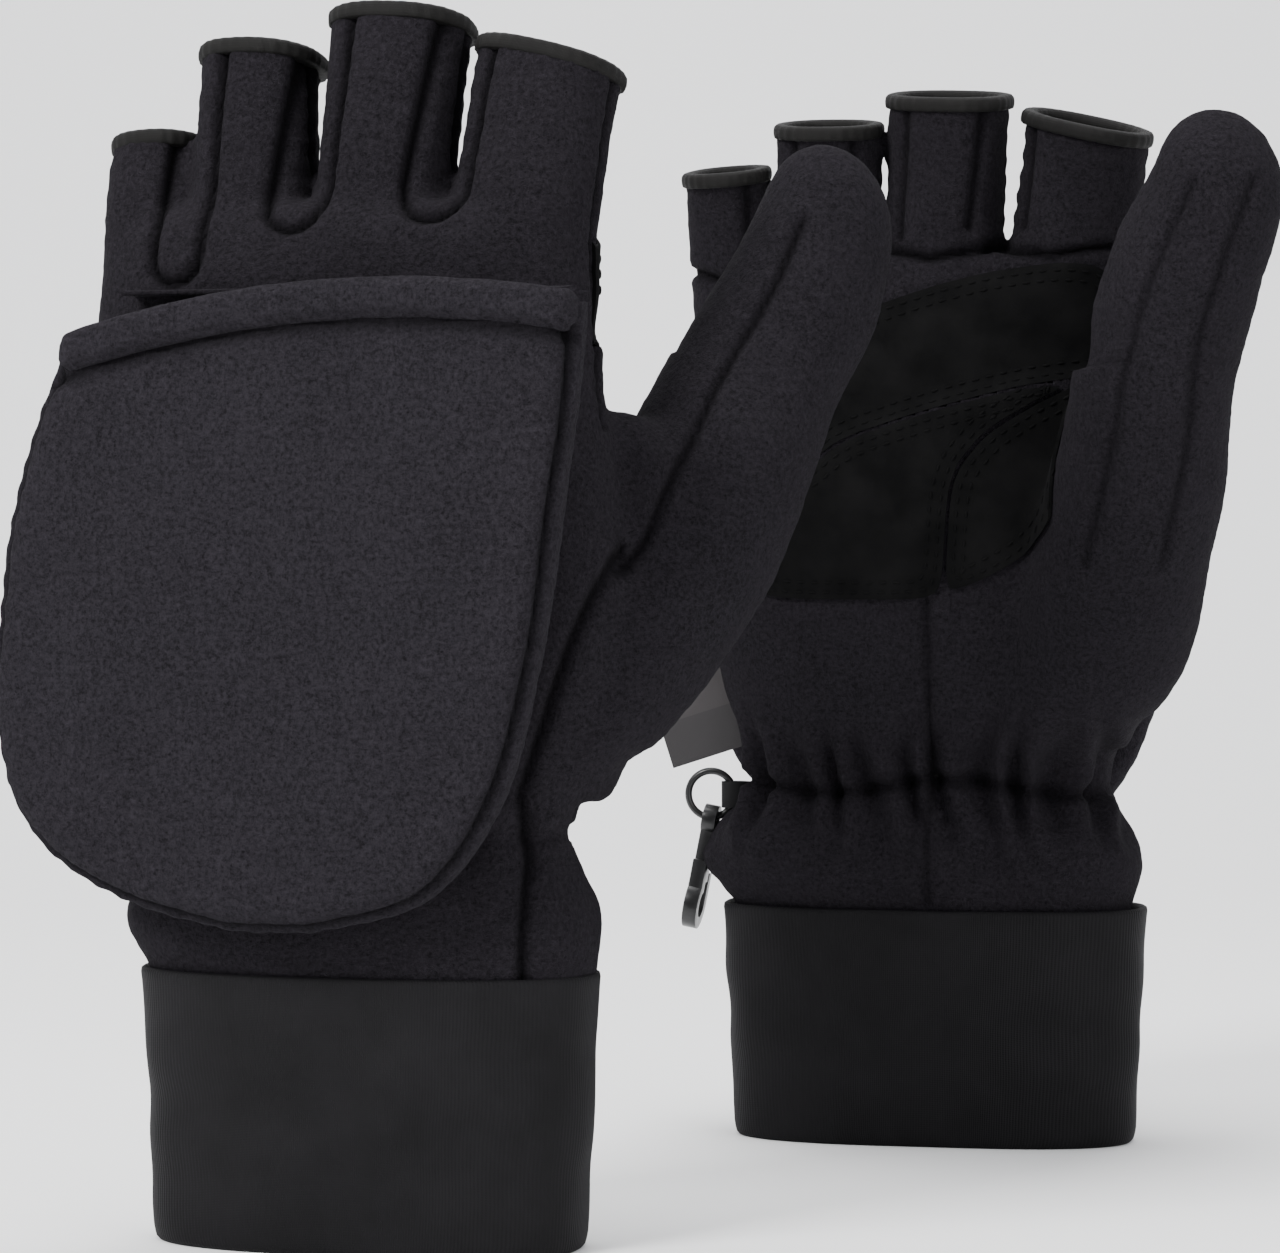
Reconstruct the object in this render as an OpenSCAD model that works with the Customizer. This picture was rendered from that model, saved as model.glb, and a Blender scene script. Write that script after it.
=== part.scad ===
// A pair of flip-top mittens in fleece: each glove stands on its knit cuff, with its hood folded back
// over the back of the hand. Millimetres, +Z up. +X runs towards the thumbs, -Y is the near side.
// The left glove shows its back to -Y. The right glove is its mirror image and shows its palm to -Y.

/* [Glove] */
// half width of the hand at the knuckles, outside
hand_hw = 52; // [46:0.5:58]
// half depth of the hand at the palm, outside
hand_hd = 22.5; // [19:0.5:27]
// height of the knuckle line above the floor
knuckle_z = 198; // [185:1:210]
// length of the cut finger tubes above the knuckle line
finger_l = 36; // [26:1:46]
// thickness of the fleece
fleece_t = 2.2; // [1.4:0.1:3.2]
// sideways shift of the thumb away from the palm, left glove
spread_left = 8.7; // [0:0.1:14]
// sideways shift of the thumb away from the palm, right glove
spread_right = 0.2; // [0:0.1:14]

/* [Cuff] */
// half width of the knit cuff
cuff_hw = 46.4; // [42:0.2:52]
// half depth of the knit cuff
cuff_hd = 22.6; // [18:0.2:27]
// height of the cuff
cuff_h = 53; // [40:1:70]
// thickness of the doubled knit
cuff_t = 2.6; // [1.6:0.1:3.6]

/* [Hood] */
// length of the hood from the knuckle seam to its tip
hood_l = 121; // [105:1:135]
// half width of the hood at its widest
hood_hw = 53.2; // [48:0.2:60]
// depth of the folded hood, outside
hood_d = 13.4; // [10:0.2:18]
// thickness of the hood's fleece
hood_t = 2.0; // [1.4:0.1:3]
// height of the hood's stitched hem
hem_h = 7.6; // [5:0.5:12]

/* [Trim] */
// height of the bound edge on each finger end
bind_h = 2.8; // [1.6:0.1:4]
// thickness of the suede patches
suede_t = 0.8; // [0.5:0.1:1.4]
// radius of the clip ring, to the middle of its wire
ring_r = 5.3; // [4:0.1:8]
// radius of the clip ring's wire
ring_w = 0.8; // [0.6:0.1:1.2]
// length of the plastic hook below its eye
hook_l = 27; // [20:1:34]

/* [Placement] */
// turn of the left glove about its upright axis
turn_left = -15; // [-30:1:30]
// turn of the right glove about its upright axis
turn_right = -12; // [-30:1:30]
// distance between the two cuffs, sideways
apart_x = 118; // [100:1:160]
// distance between the two cuffs, front to back
apart_y = 150; // [90:1:200]

/* [Hidden] */
// the left glove's cuff centre, so that the pair's box is centred on the origin
left_at = [-60, -75, 0];
right_at = left_at + [apart_x, apart_y, 0];
gap = 0.12;
// tilt of the cut finger ends towards the palm
curl = 9;
seg_hand = 24;
seg_finger = 16;
hinge = [-3.5, -22.4, knuckle_z - 15];
// finger rows: name, x at the root, x at the end, height of the end over the knuckle line,
// half width at root and end, half depth, sideways slope of the end in degrees
fingers = [
    ["little", -45.6, -46.4, finger_l - 20, 9.6, 9.3, 12.2, -3],
    ["ring", -24.8, -25.0, finger_l - 4, 12.0, 11.6, 13.4, 1],
    ["middle", 0.6, 3.8, finger_l + 2, 12.8, 13.6, 13.8, 2],
    ["index", 27.6, 33.1, finger_l - 6, 13.6, 14.2, 13.6, 13]];
// hand rows: height, centre x, centre y, half width, half depth (outside)
hand_rows = [
    [cuff_h - 7, 0, 0, cuff_hw - cuff_t - 0.8, cuff_hd - cuff_t - 0.8],
    [cuff_h + 0.4, 0, 0, cuff_hw - cuff_t - 0.4, cuff_hd - cuff_t - 0.4],
    [cuff_h + 2.4, -1, 0, cuff_hw - 1.4, cuff_hd - 1.4],
    [cuff_h + 9, -4, 0, hand_hw - 4, hand_hd - 0.2], [cuff_h + 16, -3.4, 0, hand_hw - 6.5, hand_hd - 1],
    [cuff_h + 24, -2, 0, hand_hw - 10.6, hand_hd - 4], [cuff_h + 33, -1.4, 0, hand_hw - 10.6, hand_hd - 3.6],
    [cuff_h + 45, -0.6, 1, hand_hw - 5.6, hand_hd - 1.4], [cuff_h + 60, 0, 1.2, hand_hw - 1.4, hand_hd],
    [knuckle_z - 64, -2.6, 1, hand_hw, hand_hd], [knuckle_z - 36, -6, 1, hand_hw - 1, hand_hd - 1.6],
    [knuckle_z - 13, -6.2, 1, hand_hw - 2.6, hand_hd - 3.6], [knuckle_z, -5, 1.4, hand_hw - 5.4, hand_hd - 6.6]];
// thumb rows: height, x, y, radius (outside)
thumb_rows = [
    [88, 23, 4, 17], [100, 31.5, 9, 19.5], [114, 39, 14, 20], [134, 46, 24, 19.2], [152, 51.5, 32, 18.8],
    [170, 56.5, 41, 17.2], [190, 63.3, 49, 16.4], [204, 65.6, 53, 15], [213, 66.4, 55, 11.4], [218, 66.6, 56, 5.4]];
// the hood's outline in its own plane, from the hinge point: across and down from the knuckle seam
hood_rows = [[0, -47.5, 52.0], [0.09, -50.5, 51.2], [0.22, -55.4, 49.2], [0.36, -60.2, 46.6], [0.5, -63.0, 44.2],
    [0.62, -63.4, 41.8], [0.73, -60.8, 38.8], [0.84, -53.4, 32.6], [0.93, -39.5, 22.5], [1, -21.0, 1.0]];
fleece = [0.17, 0.16, 0.18];
black = [0.09, 0.085, 0.095];
suede = [0.11, 0.105, 0.11];
knit = [0.12, 0.115, 0.12];

// ---- helpers ----
// a flattened ring of points, a little squarer than an ellipse
function oval(hw, hd, n, e = 2.3) = [for (i = [0 : n - 1]) let (a = 360 * (i + 0.5) / n, c = cos(a), s = sin(a))
    [sign(c) * pow(abs(c), 2 / e) * hw, sign(s) * pow(abs(s), 2 / e) * hd]];
// an oval ring of points in space: centre p, turned about x and then about y
function ring(p, hw, hd, n, rx = 0, ry = 0, e = 2.3) = [for (q = oval(hw, hd, n, e))
    p + [q[0] * cos(ry) + q[1] * sin(rx) * sin(ry), q[1] * cos(rx), -q[0] * sin(ry) + q[1] * sin(rx) * cos(ry)]];
// a solid through a list of rings
module loft(rings) {
    n = len(rings[0]);
    for (i = [0 : len(rings) - 2]) hull() polyhedron(concat(rings[i], rings[i + 1]),
        concat([[for (k = [0 : n - 1]) k]], [[for (k = [n - 1 : -1 : 0]) n + k]],
            [for (k = [0 : n - 1]) [(k + 1) % n, k, n + k, n + (k + 1) % n]]));
}
module place(side) {
    if (side < 0) translate(left_at) rotate(turn_left) children();
    else translate(right_at) rotate(turn_right) mirror([0, 1, 0]) children();
}
// a prism across the glove's depth, from an outline in x and z
module across(points, y0, y1) {
    translate([0, y1, 0]) rotate([90, 0, 0]) linear_extrude(y1 - y0) polygon(points);
}

// ---- the solid inside a glove's surface, grown by g ----
module hand_solid(g) {
    loft([for (k = [0 : len(hand_rows) - 1]) let (r = hand_rows[k])
        ring([r[1], r[2], r[0] + (k == 0 && g < 0 ? -3 : 0) + (k == len(hand_rows) - 1 ? g : 0)],
            r[3] + g, r[4] + g, seg_hand, e = 2.5)]);
}
// a finger's centre, t from 0 at the root to 1 at the cut end; fingers curl a little towards the palm
function finger_at(f, t) = [f[1] + (f[2] - f[1]) * t, 1 + 9 * t * t, knuckle_z - 22 + (f[3] + 22) * t];
module finger_solid(f, g, t1 = 1) {
    loft([for (t = [0, 0.4, 0.7, t1]) ring(finger_at(f, t), f[4] + (f[5] - f[4]) * t + g, f[6] + g, seg_finger,
        -curl * t, f[7] * t)]);
}
function spread_at(z, spread) = spread * min(1, max(0, (z - 95) / 40));
// a thumb held close to the hand stands higher than one held out
function rise_at(z, spread) = (4.4 - spread) * 1.5 * min(1, max(0, (z - 124) / 80));
module thumb_solid(g, spread) {
    last = len(thumb_rows) - 1;
    loft([for (k = [0 : last]) let (r = thumb_rows[k], lean = min(28, max(0, (r[0] - 88) * 0.6)))
        ring([r[1] + spread_at(r[0], spread), r[2], r[0] + rise_at(r[0], spread) + (k == last ? g : 0)], max(0.5, r[3] + g),
            max(0.5, r[3] + g), seg_finger, -lean, lean * 0.8, 2)]);
}
module glove_solid(g, spread, tip = 0) {
    hand_solid(g);
    for (f = fingers) finger_solid(f, g, tip == 0 ? 1 : 1.15);
    thumb_solid(g, spread);
}
// everything above each finger's cut end, less what its binding covers
module above_ends(h) {
    for (f = fingers) translate(finger_at(f, 1)) rotate([-curl, f[7], 0]) translate([0, 0, -h])
        linear_extrude(12) polygon(oval(f[5] + 0.4, f[6] + 0.6, seg_finger));
}
module shell(spread) {
    difference() {
        glove_solid(0, spread);
        glove_solid(-fleece_t, spread, 1);
        above_ends(bind_h + gap);
    }
}

// ---- regions that divide the shell into its sewn panels ----
seam = [[34, 44], [34.5, cuff_h + 22], [33, 87], [35.5, 94], [39, 104], [43, 116], [47, 126], [50, 134], [51.5, 146]];
// the two faces meet along the middle of the fingers' sides, which curl towards the palm
function side_y(z) = z < knuckle_z - 22 ? 0.6 : 0.6 + 8.4 * pow(min(1.1, (z - knuckle_z + 22) / (finger_l + 22)), 2);
module back_region(d) {
    intersection() {
        across(concat([[-90, 30]], [for (p = seam) p - [d, 0]], [[51.5 - d, 154], [90, 154], [90, 270], [-90, 270]]),
            -80, 60);
        rotate([90, 0, 90]) translate([0, 0, -100]) linear_extrude(200) polygon(concat([[-80, 20], [0.6 - d, 20]],
            [for (z = [knuckle_z - 22 : 8 : knuckle_z + finger_l + 8]) [side_y(z) - d, z]], [[-80, 290]]));
    }
}
module thumb_region(d) {
    translate([0, 0, 98 + d]) rotate(37) translate([46.6 + d, -80, 0]) cube([90, 200, 160]);
}
module thumb_inner_region(spread, d) {
    across(concat([for (r = thumb_rows) [r[1] + spread_at(r[0], spread) - 3 - d, r[0] + rise_at(r[0], spread) + d]],
        [[66, 262], [-20, 262], [-20, 60]]), -90, 120);
}
// the strip between two fingers: from the near finger's seam, round the crotch, to the next finger's side
module crotch_region(x0, x1, z0, lean, d) {
    w = (x1 - x0) / 2 - d;
    translate([(x0 + x1) / 2, 60, z0]) rotate([0, lean, 0]) rotate([90, 0, 0]) linear_extrude(120) {
        translate([0, w]) circle(w, $fn = 16);
        translate([-w, w]) square([2 * w, 120]);
    }
}
module crotch_regions(d, which = -1) {
    if (which == -1 || which == 0) crotch_region(-40.6, -30.2, knuckle_z - 14, 1, d);
    if (which == -1 || which == 1) crotch_region(-18.2, -7.2, knuckle_z - 4, 5, d);
    if (which == -1 || which == 2) crotch_region(8.4, 19.6, knuckle_z - 2, 8, d);
}

module back_panel(spread) {
    color(fleece) intersection() {
        difference() { shell(spread); crotch_regions(-gap / 2); thumb_region(-gap / 2); }
        back_region(gap / 2);
    }
}
module palm_panel(spread) {
    color(fleece) difference() {
        shell(spread);
        back_region(-gap / 2);
        crotch_regions(-gap / 2);
        thumb_region(-gap / 2);
    }
}
module thumb_inner(spread) {
    color(fleece) intersection() {
        difference() { shell(spread); back_region(-gap / 2); }
        thumb_region(gap / 2);
        thumb_inner_region(spread, 0);
    }
}
module thumb_outer(spread) {
    color(fleece) difference() {
        intersection() { shell(spread); thumb_region(gap / 2); }
        back_region(-gap / 2);
        thumb_inner_region(spread, -gap);
    }
}
module fourchette(spread, which) {
    color(fleece) intersection() {
        difference() { shell(spread); thumb_region(-gap / 2); }
        crotch_regions(gap / 2, which);
    }
}
module binding(f) {
    color(black) translate(finger_at(f, 1)) rotate([-curl, f[7], 0]) difference() {
        loft([for (r = [[-bind_h, 0.1], [-bind_h + 0.5, 0.5], [-0.4, 0.5], [0, -0.3]])
            ring([0, 0, r[0]], f[5] + r[1], f[6] + r[1], seg_finger)]);
        translate([0, 0, -20]) linear_extrude(40) polygon(oval(f[5] - 3, f[6] - 3, seg_finger));
    }
}

// ---- suede patches, on the palm ----
module patch(spread, points) {
    color(suede) intersection() {
        difference() { glove_solid(gap + suede_t, spread); glove_solid(gap, spread); }
        across(points, 0.8, 60);
        rotate(37) translate([46.2 - 200, -200, 0]) cube([200, 400, 300]);
    }
}
upper_points = [[-41, 150], [-28, 149.5], [-19, 157.5], [-1, 163.5], [20, 169], [33, 171], [46, 172], [46, 190],
    [38, 196], [28, 196.5], [14, 194.5], [2, 191.5], [-10, 187.5], [-24, 182.5], [-41, 178]];
heel_points = [[-41, 149.2], [-40, 136], [-38.5, 123.5], [-30, 122], [0, 122], [4.6, 124], [5.8, 146],
    [8, 152.4], [14, 159.5], [24, 165.6], [32, 169.4], [20, 168.2], [-1, 162.7], [-18.5, 156.7], [-27.6, 148.7]];
thumb_points = [[6.6, 146], [5.4, 123.6], [12, 125.6], [22, 131], [29, 138], [34, 148], [36, 156], [41, 164],
    [42, 170.8], [34, 169.6], [24.6, 164.8], [14.8, 158.8], [8.8, 151.8]];

module wrist_elastic(spread) {
    color(black) intersection() {
        difference() { hand_solid(-fleece_t - gap); hand_solid(-fleece_t - 1.2); }
        translate([-36, 3, cuff_h + 24]) cube([70, 40, 9]);
    }
}

// ---- cuff: knit folded double at the bottom ----
function cuff_ring(z, g) = let (k = 2.6 * (1 - z / cuff_h))
    ring([0, 0, z], cuff_hw + g - k, cuff_hd + g - k * 0.5, seg_hand, e = 2.5);
module cuff() {
    color(knit) difference() {
        loft([cuff_ring(0, -0.8), cuff_ring(0.9, -0.2), cuff_ring(cuff_h * 0.3, -0.7), cuff_ring(cuff_h * 0.6, -0.4),
            cuff_ring(cuff_h - 1.2, 0.2), cuff_ring(cuff_h, -0.7)]);
        loft([cuff_ring(-0.5, -cuff_t + 0.5), cuff_ring(1.4, -cuff_t), cuff_ring(cuff_h * 0.5, -cuff_t),
            cuff_ring(cuff_h + 1, -cuff_t)]);
    }
}

// ---- hood: a hand-side panel, a side band round the edge, and the far panel with its hem ----
function hood_outline(g) = concat(
    [for (r = hood_rows) [r[1] - g, hinge[2] - 0.6 - r[0] * (hood_l - 0.6) - (r[0] == 1 ? g : 0)]],
    [for (i = [len(hood_rows) - 1 : -1 : 0]) let (r = hood_rows[i])
        [r[2] + g, hinge[2] - 0.6 - r[0] * (hood_l - 0.6) - (r[0] == 1 ? g : 0)]]);
module hood_plate(g, y0, y1) { across(hood_outline(g), y0, y1); }
hood_y = hinge[1] - 0.8;
module hood_solid(g) {
    hull() {
        hood_plate(g - 2.6, hood_y - 3, hood_y + g);
        hood_plate(g, hood_y - hood_d + 5, hood_y - 2.4);
        hood_plate(g - 1.6, hood_y - hood_d + 2, hood_y - 5);
        hood_plate(g - 7, hood_y - hood_d - g, hood_y - 7);
    }
}
module hood_shell() {
    difference() {
        hood_solid(0);
        hood_solid(-hood_t);
        translate([-60, hood_y - hood_d + 2, hinge[2] - 3]) cube([120, hood_d - 2 - hood_t - 0.2, 8]);
    }
}
module slab_y(y0, y1) { translate([-100, y0, 20]) cube([200, y1 - y0, 200]); }
module hood_hand_panel() {
    color(fleece) intersection() { hood_shell(); slab_y(hood_y - hood_t - 0.4, 0); }
}
module hood_side_band() {
    color(fleece) intersection() {
        hood_shell();
        slab_y(hood_y - hood_d + 3.4, hood_y - hood_t - 0.4 - gap);
        translate([-100, -60, 0]) cube([200, 60, hinge[2] - 3.2]);
    }
}
module hood_palm_panel() {
    color(fleece) intersection() {
        hood_shell();
        slab_y(-80, hood_y - hood_d + 3.4 - gap);
        across(concat([[90, 20]], [for (x = [90, 50, 32, 14, -4, -22, -40, -56, -90]) [x, hem_z(x) - gap]], [[-90, 20]]),
            -80, 0);
    }
}
// the hem's lower edge: it bows up towards the middle
function hem_z(x) = hinge[2] + 0.8 - hem_h - 0.0024 * pow(min(abs(x - 14), 66), 2);
module hood_hem() {
    color(fleece) intersection() {
        loft([for (x = [-51, -46, -34, -18, 0, 18, 34, 44, 49]) let (edge = pow(abs(x + 1) / 52, 4) * 5.4,
            c = [x, hood_y - hood_d + 1.4 + edge * 0.3, hem_z(x) + hem_h / 2 + gap])
            [for (i = [0 : 13]) c + [0, 2.2 * sin(i * 360 / 14), -(hem_h / 2 - edge * 0.1) * cos(i * 360 / 14)]]]);
        slab_y(-80, hood_y - hood_d + 3.4 - gap);
    }
}
// the tape falls a little towards the thumb, because the hood folds on a slanting line
function tape_z(x) = hinge[2] - 0.105 * max(0, x + 3.5);
module hood_tape() {
    color(fleece) difference() {
        union() {
            intersection() {
                hand_solid(gap + 0.8);
                across([[-44, hinge[2] - 6], [-3.5, hinge[2] - 6], [38, tape_z(38) - 6], [38, tape_z(38) - 0.6],
                    [-3.5, hinge[2] - 0.6], [-44, hinge[2] - 0.6]], -60, -8);
            }
            across([[-42, hinge[2] - 1.6], [-3.5, hinge[2] - 1.6], [36, tape_z(36) - 1.6], [36, tape_z(36) - 0.1],
                [-3.5, hinge[2] - 0.1], [-42, hinge[2] - 0.1]], hinge[1] + 0.2, hinge[1] + 8.2);
        }
        hand_solid(gap);
    }
}

// ---- clip parts at the little-finger side of the wrist ----
clip = [-44.4, 0, cuff_h + 24.5];
ring_c = clip + [-7.4, 0, -0.5];
module clip_loop() {
    color(black) difference() {
        union() {
            hull() {
                translate(clip + [-2.6, 0, -3.5]) cylinder(r = ring_w + 1.6, h = 6, $fn = 20);
                translate(clip + [0.9, -1.1, -3.5]) cube([1.6, 2.2, 6]);
            }
        }
        translate(clip + [-2.6, 0, -6]) cylinder(r = ring_w + 0.75, h = 12, $fn = 20);
        hand_solid(gap);
    }
}
module clip_ring() {
    color(black) translate(ring_c) rotate([90, 0, 0])
        rotate_extrude($fn = 48) translate([ring_r, 0]) circle(ring_w, $fn = 12);
}
module clip_hook() {
    lean = 11;
    color(black) translate(ring_c + [0, 0, -ring_r]) rotate([0, lean, 0]) rotate([90, 0, 90])
        translate([0, 0, -1.6]) linear_extrude(3.2) difference() {
            union() {
                translate([0, -0.4]) circle(3.3, $fn = 28);
                translate([-1.7, -15]) square([3.4, 13]);
                translate([-3.6, -hook_l + 3.2]) difference() {
                    union() {
                        translate([3.6, 3.6]) circle(5.6, $fn = 32);
                        translate([-2, 3.6]) square([2.6, 7]);
                        translate([3.4, 3]) square([4, 11]);
                    }
                    translate([3.6, 3.6]) circle(2.9, $fn = 24);
                    translate([0.7, 3.6]) square([3.2, 8]);
                }
            }
            translate([0, -0.4]) circle(ring_w + 1.1, $fn = 24);
        }
}
module side_label() {
    color([0.14, 0.13, 0.13]) difference() {
        translate([-46.6, 0, cuff_h + 44.8]) rotate([0, -18, 0]) translate([-18, -0.4, -9.9]) cube([19, 0.8, 20.4]);
        hand_solid(gap);
    }
}

// ---- the pair ----
module part_of(side, name) {
    spread = side < 0 ? spread_left : spread_right;
    place(side) {
        if (name == "back_panel") back_panel(spread);
        if (name == "palm_panel") palm_panel(spread);
        if (name == "thumb_inner") thumb_inner(spread);
        if (name == "thumb_outer") thumb_outer(spread);
        if (name == "fourchette_little") fourchette(spread, 0);
        if (name == "fourchette_ring") fourchette(spread, 1);
        if (name == "fourchette_index") fourchette(spread, 2);
        for (f = fingers) if (name == str("binding_", f[0])) binding(f);
        if (name == "suede_upper") patch(spread, upper_points);
        if (name == "suede_heel") patch(spread, heel_points);
        if (name == "suede_thumb") patch(spread, thumb_points);
        if (name == "wrist_elastic") wrist_elastic(spread);
        if (name == "cuff") cuff();
        if (name == "hood_tape") hood_tape();
        if (name == "hood_hand_panel") hood_hand_panel();
        if (name == "hood_side_band") hood_side_band();
        if (name == "hood_palm_panel") hood_palm_panel();
        if (name == "hood_hem") hood_hem();
        if (name == "clip_loop") clip_loop();
        if (name == "clip_ring") clip_ring();
        if (name == "clip_hook") clip_hook();
        if (name == "side_label") side_label();
    }
}

part_of(-1, "back_panel");  // left_back_panel
part_of(-1, "palm_panel");  // left_palm_panel
part_of(-1, "thumb_inner");  // left_thumb_inner
part_of(-1, "thumb_outer");  // left_thumb_outer
part_of(-1, "fourchette_index");  // left_fourchette_index
part_of(-1, "fourchette_ring");  // left_fourchette_ring
part_of(-1, "fourchette_little");  // left_fourchette_little
part_of(-1, "binding_index");  // left_binding_index
part_of(-1, "binding_middle");  // left_binding_middle
part_of(-1, "binding_ring");  // left_binding_ring
part_of(-1, "binding_little");  // left_binding_little
part_of(-1, "suede_upper");  // left_suede_upper
part_of(-1, "suede_heel");  // left_suede_heel
part_of(-1, "suede_thumb");  // left_suede_thumb
part_of(-1, "wrist_elastic");  // left_wrist_elastic
part_of(-1, "cuff");  // left_cuff
part_of(-1, "hood_tape");  // left_hood_tape
part_of(-1, "hood_hand_panel");  // left_hood_hand_panel
part_of(-1, "hood_side_band");  // left_hood_side_band
part_of(-1, "hood_palm_panel");  // left_hood_palm_panel
part_of(-1, "hood_hem");  // left_hood_hem
part_of(-1, "clip_loop");  // left_clip_loop
part_of(1, "back_panel");  // right_back_panel
part_of(1, "palm_panel");  // right_palm_panel
part_of(1, "thumb_inner");  // right_thumb_inner
part_of(1, "thumb_outer");  // right_thumb_outer
part_of(1, "fourchette_index");  // right_fourchette_index
part_of(1, "fourchette_ring");  // right_fourchette_ring
part_of(1, "fourchette_little");  // right_fourchette_little
part_of(1, "binding_index");  // right_binding_index
part_of(1, "binding_middle");  // right_binding_middle
part_of(1, "binding_ring");  // right_binding_ring
part_of(1, "binding_little");  // right_binding_little
part_of(1, "suede_upper");  // right_suede_upper
part_of(1, "suede_heel");  // right_suede_heel
part_of(1, "suede_thumb");  // right_suede_thumb
part_of(1, "wrist_elastic");  // right_wrist_elastic
part_of(1, "cuff");  // right_cuff
part_of(1, "hood_tape");  // right_hood_tape
part_of(1, "hood_hand_panel");  // right_hood_hand_panel
part_of(1, "hood_side_band");  // right_hood_side_band
part_of(1, "hood_palm_panel");  // right_hood_palm_panel
part_of(1, "hood_hem");  // right_hood_hem
part_of(1, "clip_loop");  // right_clip_loop
part_of(1, "clip_ring");  // right_clip_ring
part_of(1, "clip_hook");  // right_clip_hook
part_of(1, "side_label");  // right_side_label
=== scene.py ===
# %% [markdown]
# # A pair of flip-top fleece mittens
# Each glove is sewn from fleece panels round a hand, stands on a knit cuff, and carries a hood that folds
# back over the knuckles. The measured frame comes first: every soft piece is built inside it.

# %% Load the measured frame
import bpy
import bmesh
import math
import numpy as np
from mathutils import Matrix, Vector, noise
from mathutils.bvhtree import BVHTree


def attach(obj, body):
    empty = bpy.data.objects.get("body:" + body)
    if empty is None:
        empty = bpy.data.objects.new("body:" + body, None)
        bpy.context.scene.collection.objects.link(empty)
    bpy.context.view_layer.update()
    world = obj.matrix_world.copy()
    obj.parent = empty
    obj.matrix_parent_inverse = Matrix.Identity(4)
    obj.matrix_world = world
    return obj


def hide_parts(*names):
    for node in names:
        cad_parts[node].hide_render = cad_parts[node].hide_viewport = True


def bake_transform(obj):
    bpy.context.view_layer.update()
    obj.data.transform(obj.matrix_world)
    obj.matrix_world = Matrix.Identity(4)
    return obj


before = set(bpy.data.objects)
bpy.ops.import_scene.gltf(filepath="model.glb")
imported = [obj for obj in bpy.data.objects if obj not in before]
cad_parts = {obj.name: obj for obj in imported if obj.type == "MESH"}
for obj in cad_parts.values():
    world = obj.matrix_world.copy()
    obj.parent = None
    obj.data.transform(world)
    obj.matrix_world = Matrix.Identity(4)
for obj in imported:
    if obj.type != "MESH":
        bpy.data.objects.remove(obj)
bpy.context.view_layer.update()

# %% [markdown]
# The two gloves are mirror images, so both are modelled in one glove's own measure: millimetres, thumb
# towards +x, back of the hand towards -y, fingers up. A matrix then puts the finished mesh in its place.

# %% Where each glove stands
MM = 0.001
LEFT, RIGHT = "left", "right"


def glove_place(side):
    if side == LEFT:
        at, turn, flip = (-60.0, -75.0, 0.0), -15.0, 1.0
    else:
        at, turn, flip = (58.0, 75.0, 0.0), -12.0, -1.0
    return (Matrix.Scale(MM, 4) @ Matrix.Translation(at) @ Matrix.Rotation(math.radians(turn), 4, "Z")
            @ Matrix.Diagonal((1.0, flip, 1.0, 1.0)))


def world_point(side, x, y, z):
    return tuple(glove_place(side) @ Vector((x, y, z)))


print("left palm centre:", world_point(LEFT, 0, 0, 120))

# %% [markdown]
# The glove's measures. Rows run up the hand, up each finger tube and along the thumb; a smooth curve
# through them gives as many in-between rows as the surface needs.

# %% Rows of the hand, the fingers and the thumb
KNUCKLE_Z = 198.0
CUFF_H = 53.0
HAND_ROWS = np.array([
    # height, centre x, centre y, half width, half depth
    [44, 0, 0, 43.6, 19.8], [52, -0.4, 0, 44.2, 20.6], [57, -2.2, 0, 46.4, 22.2], [63, -4, 0, 48.2, 22.6],
    [70, -3.4, 0, 45.6, 21.4], [77, -2, 0, 41.6, 19.0], [85, -1.4, 0, 41.4, 18.8], [97, -0.6, 1, 46.2, 21.0],
    [113, 0, 1.2, 50.6, 22.4], [134, -2.8, 1, 51.8, 22.5], [162, -6, 1, 51, 20.9], [185, -6.2, 1, 49.4, 18.6],
    [196, -5.4, 1.4, 47.2, 16.0]])
FINGERS = {
    # x at the root, x at the end, height of the end, half width at root and end, half depth, slope of the end
    "little": (-45.6, -46.4, 214, 9.5, 9.1, 11.9, -3), "ring": (-24.8, -25.0, 230, 11.8, 11.4, 13.1, 1),
    "middle": (0.6, 3.8, 236, 12.8, 13.3, 13.5, 2), "index": (27.6, 33.3, 228, 13.6, 13.9, 13.3, 13)}
THUMB_ROWS = np.array([
    # height, x, y, radius
    [84, 20, 2, 15], [88, 24, 4, 17], [100, 32, 9, 19.5], [114, 39, 14, 20], [134, 46, 24, 19.2],
    [152, 51.5, 32, 18.8], [170, 56.5, 41, 17.2], [190, 63.3, 49, 16.2], [204, 65.6, 53, 14.4]])
THUMB_SPREAD = {LEFT: 8.7, RIGHT: 0.2}
CURL_DEG = 9.0


def smooth_rows(rows, count):
    """A Catmull-Rom curve through the rows, sampled evenly."""
    rows = np.asarray(rows, float)
    padded = np.vstack([2 * rows[0] - rows[1], rows, 2 * rows[-1] - rows[-2]])
    at = np.linspace(0, len(rows) - 1 - 1e-9, count)
    i = at.astype(int)
    t = (at - i)[:, None]
    a, b, c, d = padded[i], padded[i + 1], padded[i + 2], padded[i + 3]
    return 0.5 * (2 * b + (c - a) * t + (2 * a - 5 * b + 4 * c - d) * t ** 2
                  + (3 * b - a - 3 * c + d) * t ** 3)


FINGER_RISE = {LEFT: {"little": -1.0}, RIGHT: {"little": 4.5, "ring": -1.5, "middle": -1.5}}
FINGER_SHIFT = {LEFT: {"ring": -0.8, "middle": -1.0, "index": -0.5},
                RIGHT: {"ring": 2.0, "middle": 0.6, "index": 2.2}}


def finger_point(name, t, side):
    x0, x1, top = FINGERS[name][:3]
    top += FINGER_RISE[side].get(name, 0.0)
    x1 += FINGER_SHIFT[side].get(name, 0.0)
    return Vector((x0 + (x1 - x0) * t, 1 + 9 * t * t, KNUCKLE_Z - 22 + (top - KNUCKLE_Z + 22) * t))


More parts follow.
